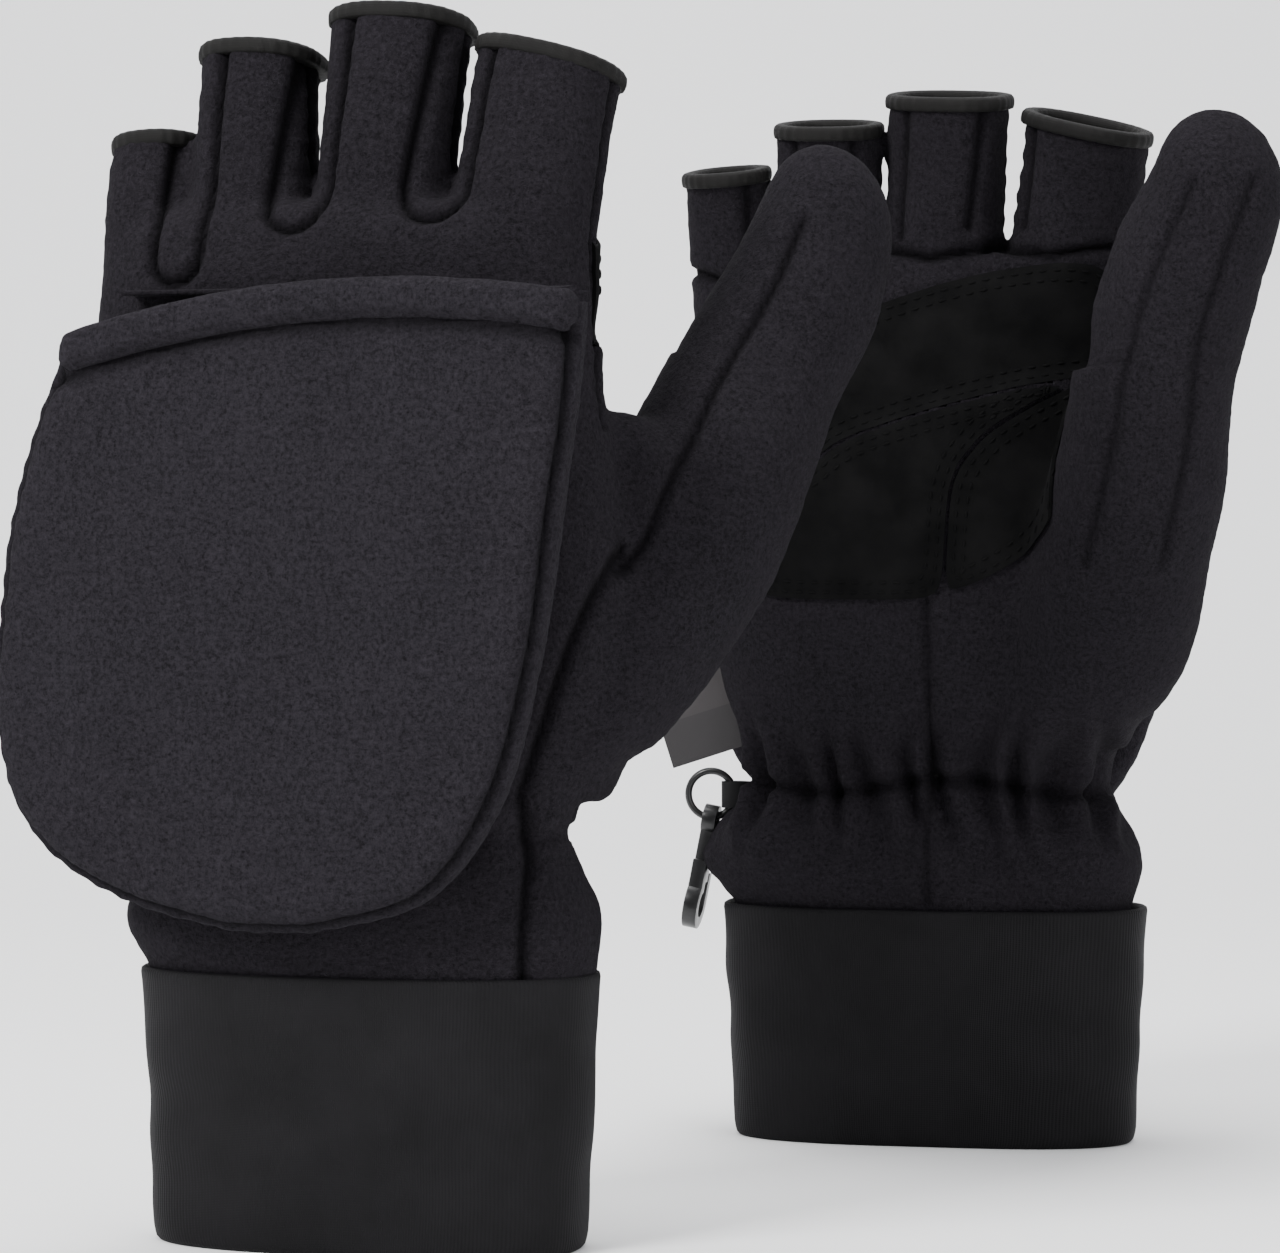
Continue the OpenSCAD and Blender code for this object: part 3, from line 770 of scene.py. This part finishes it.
for side, seed, wider, along in ((LEFT, 2.0, -1.1, -1.2), (RIGHT, 9.0, 1.7, -0.3)):
    cuff = band(side + " cuff", cuff_profile(), CUFF_HW + wider, CUFF_HD, 260, 2.5, cuff_wobble(seed))
    cuff.data.transform(Matrix.Translation((along, 0, 0)))
    finish_piece(cuff, side, side + "_glove", [side + "_cuff"], CUFF_KNIT)
    print(cuff.name, len(cuff.data.polygons), "faces")

# %% [markdown]
# The hood is a flat bag. Its form is a stack of outlines, front to back, each drawn in a little so the edge
# is round. The same voxel remesh gives it an even skin that can be swelled, creased and divided.

# %% The hood's form
HINGE = Vector((-3.5, -22.4, 183.0))
HOOD_Y, HOOD_D, HEM_H = -23.2, 13.4, 7.6
HOOD_ROWS = np.array([[-0.03, -47.0, 50.6], [0, -47.5, 50.6], [.09, -51.4, 49.8], [.22, -57.2, 48.2],
                      [.36, -61.8, 45.8], [.5, -64.2, 43.4], [.62, -65.2, 40.6], [.73, -64.0, 37.4],
                      [.83, -59.4, 32.2], [.91, -49.5, 25.2], [.965, -36, 15.5], [1.0, -18, -3]])
FRONT_SEAM_Y, BACK_SEAM_Y = HOOD_Y - HOOD_D + 3.4, HOOD_Y - 2.4


def hood_loop():
    rows = smooth_rows(HOOD_ROWS, 70)
    z = 182.4 - rows[:, 0] * 120.4
    left, right = np.column_stack([rows[:, 1], z]), np.column_stack([rows[:, 2], z])
    top = np.column_stack([np.linspace(right[0, 0], left[0, 0], 44)[1:-1], np.full(42, z[0])])
    loop = np.vstack([left, right[::-1], top])
    step = np.hypot(*np.diff(np.vstack([loop, loop[:1]]), axis=0).T)
    way = np.concatenate([[0], np.cumsum(step)])
    at = np.linspace(0, way[-1], 241)[:-1]
    closed = np.vstack([loop, loop[:1]])
    return np.column_stack([np.interp(at, way, closed[:, 0]), np.interp(at, way, closed[:, 1])])


def inset(loop, by):
    ahead, behind = np.roll(loop, -4, axis=0), np.roll(loop, 4, axis=0)
    run = ahead - behind
    run /= np.hypot(*run.T)[:, None]
    normal = np.column_stack([-run[:, 1], run[:, 0]])
    middle = np.array([-8.0, 125.0])
    normal *= np.sign(((middle - loop) * normal).sum(1))[:, None]
    return loop + normal * by


def hem_low(x):
    return HINGE.z + 0.8 - HEM_H - 0.0024 * np.minimum(np.abs(x - 14), 66) ** 2


def hood_form(side):
    loop = hood_loop()
    bm = bmesh.new()
    levels = [(0.0, 4.4), (0.5, 2.6), (1.8, 0.9), (3.6, 0.1), (6.6, 0.0), (9.2, 0.5), (11.2, 1.9),
              (12.6, 4.2), (13.3, 7.6)]
    rings = []
    for depth, by in levels:
        ring = bmesh.ops.create_circle(bm, segments=240, radius=1.0)["verts"]
        for v, (x, z) in zip(ring, inset(loop, by)):
            v.co = (x, HOOD_Y - depth, z)
        inside = set(ring)
        rings.append([e for e in bm.edges if e.verts[0] in inside and e.verts[1] in inside])
    for low, high in zip(rings, rings[1:]):
        bmesh.ops.bridge_loops(bm, edges=low + high)
    bmesh.ops.holes_fill(bm, edges=rings[0] + rings[-1])
    ob = mesh_object("hood form " + side, bm)
    melt = ob.modifiers.new("melt", "REMESH")
    melt.mode, melt.voxel_size = "VOXEL", 1.15
    with_modifiers(ob)
    relax(ob.data, 4)
    mesh = ob.data
    co, nor = points_of(mesh), normals_of(mesh)
    x, y, z = co.T
    edge, along = line_distance(co, np.vstack([loop, loop[:1]]))
    face = np.clip((HOOD_Y - 6 - y) / 5, 0, 1)
    seed = 5 if side == LEFT else 6
    open_end = np.clip((hem_low(x) - z) / 26, 0, 1)
    swell = (2.0 * (1 - np.exp(-edge / 20)) - 0.9 * np.exp(-((edge - 11) / 7) ** 2)) * open_end
    soft = (0.9 * noise_at(co, 34.0, seed) + 0.4 * noise_at(co, 15.0, seed + 2)) * (0.3 + 0.7 * open_end)
    ripple = np.sin((x * 0.35 + z * 0.94) / 8.5 + 1.2 * noise_at(co, 30.0, seed + 4))
    drag = 0.55 * ripple * np.exp(-((edge - 12) / 10) ** 2)
    out = face * (swell + soft + drag)
    out += fleece_relief(co, seed + 8, 0.3, 0.17)
    front = (y < HOOD_Y - 6) & (z < 181)
    out += np.where(front, valley(np.abs(y - FRONT_SEAM_Y), along, 1.3, 1.0, 0.3, 5.5), 0)
    under = np.exp(-((z - hem_low(x) + 0.4) / 1.7) ** 2)
    out += np.where(face > 0.3, -1.9 * under, 0)
    set_points(mesh, co + nor * out[:, None])
    if side == RIGHT:
        lean = 9.0 * np.clip((180 - z) / 50, 0, 1)
        set_points(mesh, points_of(mesh) + np.column_stack([lean, 0 * lean, 0 * lean]))
    # painted shade in the groove of the front seam and in the crease under the hem
    paint_seam_shade(mesh, np.where(front, np.exp(-((y - FRONT_SEAM_Y) / 0.9) ** 2), 0)
               + np.where(face > 0.3, 0.8 * under, 0))
    return ob


hoods = {side: hood_form(side) for side in (LEFT, RIGHT)}
print("hood form:", len(hoods[LEFT].data.vertices), "points")

# %% [markdown]
# The bag is cut open at the knuckles and divided into the panel against the hand, the band round the side
# and the far panel.

# %% Hood panels
def hood_part(c):
    top = hem_low(c.x) + HEM_H
    if c.y > BACK_SEAM_Y:
        return "hood_hand_panel" if c.z < top + 0.8 else None
    if c.y > FRONT_SEAM_Y:
        return "hood_side_band" if c.z < min(180, top - 1.5) else None
    return "hood_palm_panel" if c.z < hem_low(c.x) + 1.0 else None


def build_hood(side):
    bm = bmesh.new()
    bm.from_mesh(hoods[side].data)
    bmesh.ops.bisect_plane(bm, geom=bm.verts[:] + bm.edges[:] + bm.faces[:], plane_co=(0, 0, 182.2),
                           plane_no=(0, 0, 1), clear_outer=True)
    for y in (BACK_SEAM_Y, FRONT_SEAM_Y):
        bmesh.ops.bisect_plane(bm, geom=bm.verts[:] + bm.edges[:] + bm.faces[:], plane_co=(0, y, 0),
                               plane_no=(0, 1, 0))
    names = [hood_part(f.calc_center_median()) for f in bm.faces]
    for panel in ("hood_hand_panel", "hood_side_band", "hood_palm_panel"):
        part = bm.copy()
        part.faces.ensure_lookup_table()
        others = [part.faces[i] for i, n in enumerate(names) if n != panel]
        bmesh.ops.delete(part, geom=others, context="FACES")
        mesh = bpy.data.meshes.new(side + " " + panel)
        part.to_mesh(mesh)
        part.free()
        ob = bpy.data.objects.new(side + " " + panel.replace("_", " "), mesh)
        bpy.context.scene.collection.objects.link(ob)
        thicken(ob, 1.9)
        body = {"hood_palm_panel": side + "_hood_front", "hood_hand_panel": side + "_hood"}.get(panel)
        finish_piece(ob, side, body, [f"{side}_{panel}"], FLEECE_HOOD)
        if panel == "hood_side_band":
            world_point(side, 0, BACK_SEAM_Y - 0.4, 120)
            world_point(side, 0, FRONT_SEAM_Y + 0.4, 120)
            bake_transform(ob)
        print("  ", ob.name, len(ob.data.polygons), "faces")
    bm.free()
    bpy.data.objects.remove(hoods[side])


for side in (LEFT, RIGHT):
    build_hood(side)

# %% [markdown]
# The hood's mouth is hemmed: the fleece turns in and is stitched, which makes a plump roll with a line of
# stitching under it. The roll is a row of ovals along the edge, turned round the two corners.

# %% Hem of the hood
def hem_path():
    """Along the mouth's far edge and a little way back round both corners."""
    turn = np.linspace(-math.pi / 2, math.pi / 2, 900)
    x = -0.9 + 47.9 * np.sign(np.sin(turn)) * np.abs(np.sin(turn)) ** 0.25
    y = HOOD_Y - HOOD_D + 1.7 + 6.6 * (1 - np.abs(np.cos(turn)) ** 0.25)
    way = np.concatenate([[0], np.cumsum(np.hypot(np.diff(x), np.diff(y)))])
    at = np.linspace(0, way[-1], 190)
    x, y = np.interp(at, way, x), np.interp(at, way, y)
    run = np.column_stack([np.gradient(x), np.gradient(y)])
    run /= np.hypot(*run.T)[:, None]
    return x, y, run, at, way[-1]


def build_hem(side):
    bm = bmesh.new()
    rings, seed = [], 11 if side == LEFT else 12
    xs, ys, runs, at, length = hem_path()
    for x, y, run, s in zip(xs, ys, runs, at):
        end = min(1.0, (max(0.02, min(s, length - s)) / 2.4) ** 0.5)
        ring = bmesh.ops.create_circle(bm, segments=28, radius=1.0)["verts"]
        for v in ring:
            a, b = v.co.x, v.co.y
            up = math.copysign(abs(b) ** 0.75, b)
            lump = (0.35 * noise.noise(Vector((s / 6, b * 1.4, a + seed)))
                    + 0.14 * noise.noise(Vector((s / 1.6, b * 3, a * 2 + seed))))
            groove = 0.8 * math.exp(-((b + 0.72) / 0.14) ** 2) * max(0, -a) * (0.8 + 0.2 * math.cos(s * 2.1))
            out = a * (2.75 + lump) * end + groove * end
            v.co = (x - out * run[1], y + out * run[0],
                    float(hem_low(x)) + HEM_H / 2 - 0.1 + up * (HEM_H / 2 + 0.1 + 0.5 * lump) * end)
        inside = set(ring)
        rings.append([e for e in bm.edges if e.verts[0] in inside and e.verts[1] in inside])
    for low, high in zip(rings, rings[1:]):
        bmesh.ops.bridge_loops(bm, edges=low + high)
    bmesh.ops.holes_fill(bm, edges=rings[0] + rings[-1])
    ob = mesh_object(side + " hood hem", bm)
    smooth(ob)
    finish_piece(ob, side, side + "_hood_front", [side + "_hood_hem"], FLEECE_HOOD)
    return ob


for side in (LEFT, RIGHT):
    print(build_hem(side).name)

# %% [markdown]
# A folded tape joins the hood to the back of the hand along the knuckles. It is a narrow sheet that follows
# the hand, turns at the fold and reaches out to the hood.

# %% Hood tape
def tape_top(x):
    return HINGE.z - 0.105 * max(0.0, x + 3.5)


def hand_back_y(x, z):
    row = [np.interp(z, HAND_ROWS[:, 0], HAND_ROWS[:, k]) for k in range(5)]
    share = min(0.98, abs((x - row[1]) / row[3]))
    return row[2] - row[4] * (1 - share ** 2.5) ** 0.4


def build_tape(side):
    bm = bmesh.new()
    bmesh.ops.create_grid(bm, x_segments=64, y_segments=10, size=1.0)
    for v in bm.verts:
        x, t = -3 + 40 * v.co.x, (v.co.y + 1) / 2
        z_top = tape_top(x)
        skin = hand_back_y(x, z_top - 3)
        if t < 0.6:
            v.co = (x, skin - 0.75, z_top - 5.4 + t / 0.6 * 4.4)
        else:
            k = (t - 0.6) / 0.4
            y = (skin - 0.75) * (1 - k) + (HOOD_Y + 0.5) * k
            v.co = (x, y, z_top - 1.0 + 0.35 * math.sin(k * math.pi))
    ob = mesh_object(side + " hood tape", bm)
    wall = ob.modifiers.new("wall", "SOLIDIFY")
    wall.thickness, wall.offset = 0.8, 0.0
    with_modifiers(ob)
    smooth(ob)
    return finish_piece(ob, side, side + "_glove", [side + "_hood_tape"], FLEECE)


for side in (LEFT, RIGHT):
    print(build_tape(side).name)

# %% [markdown]
# The palm's suede is cut in three pieces and sewn on with two rows of thread. Each piece is a shell just
# over the palm, cut to its outline by a prism, with small stitches laid on it along the edge.

# %% Suede patches
PATCHES = {
    "suede_upper": [(-41, 150), (-28, 149.5), (-19, 157.5), (-1, 163.5), (20, 169), (33, 171), (45, 172),
                    (45, 190), (38, 196), (28, 196.5), (14, 194.5), (2, 191.5), (-10, 187.5), (-24, 182.5),
                    (-41, 178)],
    "suede_heel": [(-41, 149.2), (-40, 136), (-38.5, 123.5), (-30, 122), (0, 122), (4.6, 124), (5.8, 146),
                   (8, 152.4), (14, 159.5), (24, 165.6), (32, 169.4), (20, 168.2), (-1, 162.7),
                   (-18.5, 156.7), (-27.6, 148.7)],
    "suede_thumb": [(6.6, 146), (5.4, 123.6), (12, 125.6), (22, 131), (29, 138), (34, 148), (36, 156),
                    (41, 164), (42, 170.8), (34, 169.6), (24.6, 164.8), (14.8, 158.8), (8.8, 151.8)]}


def round_corners(points, rounds=2):
    p = np.array(points, float)
    for _ in range(rounds):
        nxt = np.roll(p, -1, axis=0)
        p = np.stack([p * 0.82 + nxt * 0.18, p * 0.18 + nxt * 0.82], axis=1).reshape(-1, 2)
    return p


def even_loop(p, pitch):
    closed = np.vstack([p, p[:1]])
    way = np.concatenate([[0], np.cumsum(np.hypot(*np.diff(closed, axis=0).T))])
    at = np.linspace(0, way[-1], max(8, int(way[-1] / pitch)) + 1)[:-1]
    return np.column_stack([np.interp(at, way, closed[:, 0]), np.interp(at, way, closed[:, 1])])


def loop_inset(p, by):
    run = np.roll(p, -1, axis=0) - np.roll(p, 1, axis=0)
    run /= np.maximum(np.hypot(*run.T), 1e-6)[:, None]
    turn = np.sum(p[:, 0] * np.roll(p[:, 1], -1) - np.roll(p[:, 0], -1) * p[:, 1])
    return p + np.column_stack([-run[:, 1], run[:, 0]]) * by * np.sign(turn)


def palm_shell(side, grow, thick, keep):
    """A smooth copy of the palm's skin, moved out by grow and given a thickness."""
    bm = cut[side].copy()
    bmesh.ops.delete(bm, geom=[f for f in bm.faces if not keep(f.calc_center_median())], context="FACES")
    mesh = bpy.data.meshes.new("shell")
    bm.to_mesh(mesh)
    bm.free()
    relax(mesh, 8)
    set_points(mesh, points_of(mesh) + normals_of(mesh) * grow)
    ob = bpy.data.objects.new("shell", mesh)
    bpy.context.scene.collection.objects.link(ob)
    wall = ob.modifiers.new("wall", "SOLIDIFY")
    wall.thickness, wall.offset = thick, 1.0
    return with_modifiers(ob)


def prism(outline, y0, y1):
    bm = bmesh.new()
    ring = bmesh.ops.create_circle(bm, cap_ends=True, segments=len(outline), radius=1.0)["verts"]
    for v, (x, z) in zip(ring, outline):
        v.co = (x, y0, z)
    grown = bmesh.ops.extrude_face_region(bm, geom=bm.faces[:])
    for v in [g for g in grown["geom"] if isinstance(g, bmesh.types.BMVert)]:
        v.co.y = y1
    return mesh_object("prism", bm)


def stitch_row(bm, tree, outline, by, pitch=3.1, length=1.9):
    """Small stitches laid on the surface, along an outline drawn in by a distance."""
    line = even_loop(loop_inset(even_loop(outline, 1.6), by), pitch)
    made = 0
    for a, b in zip(line, np.roll(line, -1, axis=0)):
        mid, run = (a + b) / 2, b - a
        if np.hypot(*run) > pitch * 1.6:
            continue
        hit, normal, index, far = tree.ray_cast(Vector((mid[0], 70, mid[1])), Vector((0, -1, 0)))
        if hit is None:
            continue
        ahead = Vector((run[0], 0, run[1])).normalized()
        ahead = (ahead - normal * ahead.dot(normal)).normalized()
        turn = Matrix((ahead, normal.cross(ahead), normal)).transposed().to_4x4()
        shape = Matrix.Translation(hit + normal * 0.06) @ turn @ Matrix.Diagonal((length / 2, 0.36, 0.32, 1))
        bmesh.ops.create_uvsphere(bm, u_segments=8, v_segments=5, radius=1.0, matrix=shape)
        made += 1
    return made


def build_patch(side, name):
    outline = even_loop(round_corners(PATCHES[name]), 1.5)
    low, high = outline.min(0) - 5, outline.max(0) + 5
    limit = math.radians(37)

    def keep(c):
        return (c.y > side_y(c.z) + 0.4 and low[0] < c.x < high[0] and low[1] < c.z < high[1]
                and c.x * math.cos(limit) + c.y * math.sin(limit) < 46.4)
    shell = palm_shell(side, 0.25, 0.75, keep)
    shape = prism(outline, -5.0, 70.0)
    cutter = shell.modifiers.new("cut", "BOOLEAN")
    cutter.operation, cutter.solver, cutter.object = "INTERSECT", "EXACT", shape
    with_modifiers(shell)
    bpy.data.objects.remove(shape)
    corners = [v.co.copy() for v in shell.data.vertices]
    tree = BVHTree.FromPolygons(corners, [tuple(p.vertices) for p in shell.data.polygons])
    bm = bmesh.new()
    count = stitch_row(bm, tree, outline, 1.5) + stitch_row(bm, tree, outline, 3.7)
    for f in bm.faces:
        f.material_index = 1
    bm.from_mesh(shell.data)
    bm.to_mesh(shell.data)
    bm.free()
    smooth(shell, 50)
    shell.name = f"{side} {name}".replace("_", " ")
    finish_piece(shell, side, side + "_glove", [f"{side}_{name}"], SUEDE)
    shell.data.materials.append(THREAD)
    print("  ", shell.name, count, "stitches")


for side in (LEFT, RIGHT):
    for name in PATCHES:
        build_patch(side, name)

# %% [markdown]
# The elastic that gathers the wrist lies inside the palm side, against the fleece.

# %% Wrist elastic
def build_elastic(side):
    band_ = palm_shell(side, -3.6, 0.9, lambda c: 77 < c.z < 86 and c.y > 3 and -36 < c.x < 34)
    smooth(band_)
    band_.name = side + " wrist elastic"
    finish_piece(band_, side, side + "_glove", [side + "_wrist_elastic"], BINDING)
    print("  ", band_.name)


for side in (LEFT, RIGHT):
    build_elastic(side)

# %% [markdown]
# At the little-finger side of each wrist a loop of narrow webbing stands out of the seam. On the right glove
# it carries a ring, and the ring a flat plastic hook, so the pair can be clipped together.

# %% Webbing loops, clip ring and hook
CLIP = Vector((-44.4, 0, 77.5))


def build_loop(side):
    bm = bmesh.new()
    ring = bmesh.ops.create_circle(bm, segments=48, radius=2.0)["verts"]
    for v in ring:
        if v.co.x > 0:
            v.co.x *= 2.0
        v.co += CLIP + Vector((-2.6, 0, -3.5))
    for _ in range(6):
        edges = [e for e in bm.edges if e.is_boundary and e.verts[0].co.z > CLIP.z - 3.6 and
                 abs(e.verts[0].co.z - max(v.co.z for v in bm.verts)) < 0.01] or bm.edges[:]
        grown = bmesh.ops.extrude_edge_only(bm, edges=edges)["geom"]
        for v in [g for g in grown if isinstance(g, bmesh.types.BMVert)]:
            v.co.z += 1.0
    ob = mesh_object(side + " webbing loop", bm)
    wall = ob.modifiers.new("wall", "SOLIDIFY")
    wall.thickness, wall.offset = 0.75, 0.0
    with_modifiers(ob)
    smooth(ob, 50)
    return finish_piece(ob, side, side + "_glove", [side + "_clip_loop"], WEBBING)


def bevelled_copy(cad_name, body, material, width=0.00028):
    source = bpy.data.objects[cad_name]
    bm = bmesh.new()
    bm.from_mesh(source.data)
    bm.transform(source.matrix_world)
    bmesh.ops.remove_doubles(bm, verts=bm.verts, dist=2e-6)
    bmesh.ops.dissolve_limit(bm, angle_limit=math.radians(2), verts=bm.verts, edges=bm.edges)
    sharp = [e for e in bm.edges if len(e.link_faces) == 2 and e.calc_face_angle() > math.radians(38)]
    bmesh.ops.bevel(bm, geom=sharp, offset=width, segments=3, profile=0.5, affect="EDGES", clamp_overlap=True)
    ob = mesh_object(cad_name.replace("_", "."), bm)
    smooth(ob, 40)
    ob.data.materials.append(material)
    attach(ob, body)
    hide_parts(cad_name)
    return ob


def build_ring():
    bm = bmesh.new()
    bmesh.ops.create_circle(bm, segments=20, radius=0.8, matrix=Matrix.Translation((5.3, 0, 0)))
    bmesh.ops.spin(bm, geom=bm.verts[:] + bm.edges[:], cent=(0, 0, 0), axis=(0, 1, 0), angle=2 * math.pi,
                   steps=72, use_merge=True)
    bmesh.ops.remove_doubles(bm, verts=bm.verts, dist=0.001)
    bmesh.ops.translate(bm, verts=bm.verts, vec=CLIP + Vector((-7.4, 0, -0.5)))
    ob = mesh_object("clip ring", bm)
    smooth(ob)
    return finish_piece(ob, RIGHT, "clip_ring", ["right_clip_ring"], PLASTIC)


for side in (LEFT, RIGHT):
    print(build_loop(side).name)
print(build_ring().name, "and", bevelled_copy("right_clip_hook", "clip_hook", PLASTIC).name)

# %% [markdown]
# A small woven tag is sewn into the same seam. It carries only a plain woven stripe.

# %% Side label
def label_material():
    mat, tree, shader = new_material("label weave", 0.7, 0.1, 0.3)
    uv = tree.nodes.new("ShaderNodeUVMap")
    uv.uv_map = "cloth"
    weave = wave_height(tree, uv.outputs["UV"], 1.1, "X")
    rows = wave_height(tree, uv.outputs["UV"], 1.1, "Y")
    split = tree.nodes.new("ShaderNodeSeparateXYZ")
    tree.links.new(uv.outputs["UV"], split.inputs[0])
    stripe = ramp_node(tree, split.outputs["Y"],
                       [(0.0, (0.028, 0.026, 0.027)), (0.001, (0.04, 0.036, 0.037))])
    tree.links.new(stripe.outputs["Color"], shader.inputs["Base Color"])
    bump_chain(tree, shader, [(weave.outputs["Fac"], 0.3, 0.0002), (rows.outputs["Fac"], 0.3, 0.0002)])
    return mat


def build_label():
    bm = bmesh.new()
    bmesh.ops.create_grid(bm, x_segments=30, y_segments=30, size=1.0)
    layer = bm.loops.layers.uv.new("cloth")
    for f in bm.faces:
        for loop in f.loops:
            loop[layer].uv = (loop.vert.co.x * 9.5, loop.vert.co.y * 10.5)
    place_it = (Matrix.Translation((-46.6, 0, 97.8)) @ Matrix.Rotation(math.radians(-18), 4, "Y")
                @ Matrix.Translation((-8.5, 0, 0.3)))
    for v in bm.verts:
        u, w = v.co.x, v.co.y
        v.co = place_it @ Vector((u * 9.5, 0.5 * math.sin(u * 1.6) + 0.25 * w * u, w * 10.2))
    ob = mesh_object("side label", bm)
    wall = ob.modifiers.new("wall", "SOLIDIFY")
    wall.thickness, wall.offset = 0.7, 0.0
    with_modifiers(ob)
    smooth(ob, 50)
    return finish_piece(ob, RIGHT, "right_glove", ["right_side_label"], label_material())


print(build_label().name)

# %% [markdown]
# A pale floor that curves up behind the gloves, and large soft lights, as in a small product studio.

# %% Floor, light and camera
def studio():
    bm = bmesh.new()
    bmesh.ops.create_grid(bm, x_segments=2, y_segments=60, size=1.0)
    for v in bm.verts:
        y = v.co.y * 2.6
        rise = max(0.0, y - 0.7)
        v.co = (v.co.x * 3.2, min(y, 0.7 + 0.9 * math.sin(min(rise, 1.4) / 0.9)),
                0.9 - 0.9 * math.cos(min(rise / 0.9, math.pi / 2)) + max(0.0, rise - 1.41) * 1.6)
    floor = mesh_object("studio.floor", bm)
    smooth(floor)
    mat, tree, shader = new_material("studio", 0.9)
    shader.inputs["Base Color"].default_value = (0.93, 0.93, 0.93, 1)
    floor.data.materials.append(mat)
    world = bpy.context.scene.world or bpy.data.worlds.new("World")
    bpy.context.scene.world = world
    world.use_nodes = True
    world.node_tree.nodes["Background"].inputs["Color"].default_value = (0.95, 0.96, 1, 1)
    world.node_tree.nodes["Background"].inputs["Strength"].default_value = 0.8
    for name, at, aim, size, power in (("key", (-0.9, -0.9, 1.0), (-0.05, -0.05, 0.14), 0.5, 31),
                                       ("fill", (0.9, -1.1, 0.5), (0, 0, 0.10), 0.9, 9),
                                       ("top", (0.0, 0.25, 1.6), (0, 0.1, 0.1), 1.0, 26)):
        light = bpy.data.lights.new(name, "AREA")
        light.shape, light.size, light.energy = "SQUARE", size, power
        lamp = bpy.data.objects.new(name, light)
        lamp.location = at
        lamp.rotation_euler = (Vector(aim) - Vector(at)).to_track_quat("-Z", "Y").to_euler()
        bpy.context.scene.collection.objects.link(lamp)


studio()
camera = bpy.data.objects.new("camera", bpy.data.cameras.new("camera"))
camera.data.lens, camera.data.sensor_width = 124.3, 36.0
camera.location = (-0.009, -0.925, 0.136)
camera.rotation_euler = (math.radians(90 - 1.17), 0, 0)
bpy.context.scene.collection.objects.link(camera)
bpy.context.scene.camera = camera
print("camera at", tuple(camera.location))
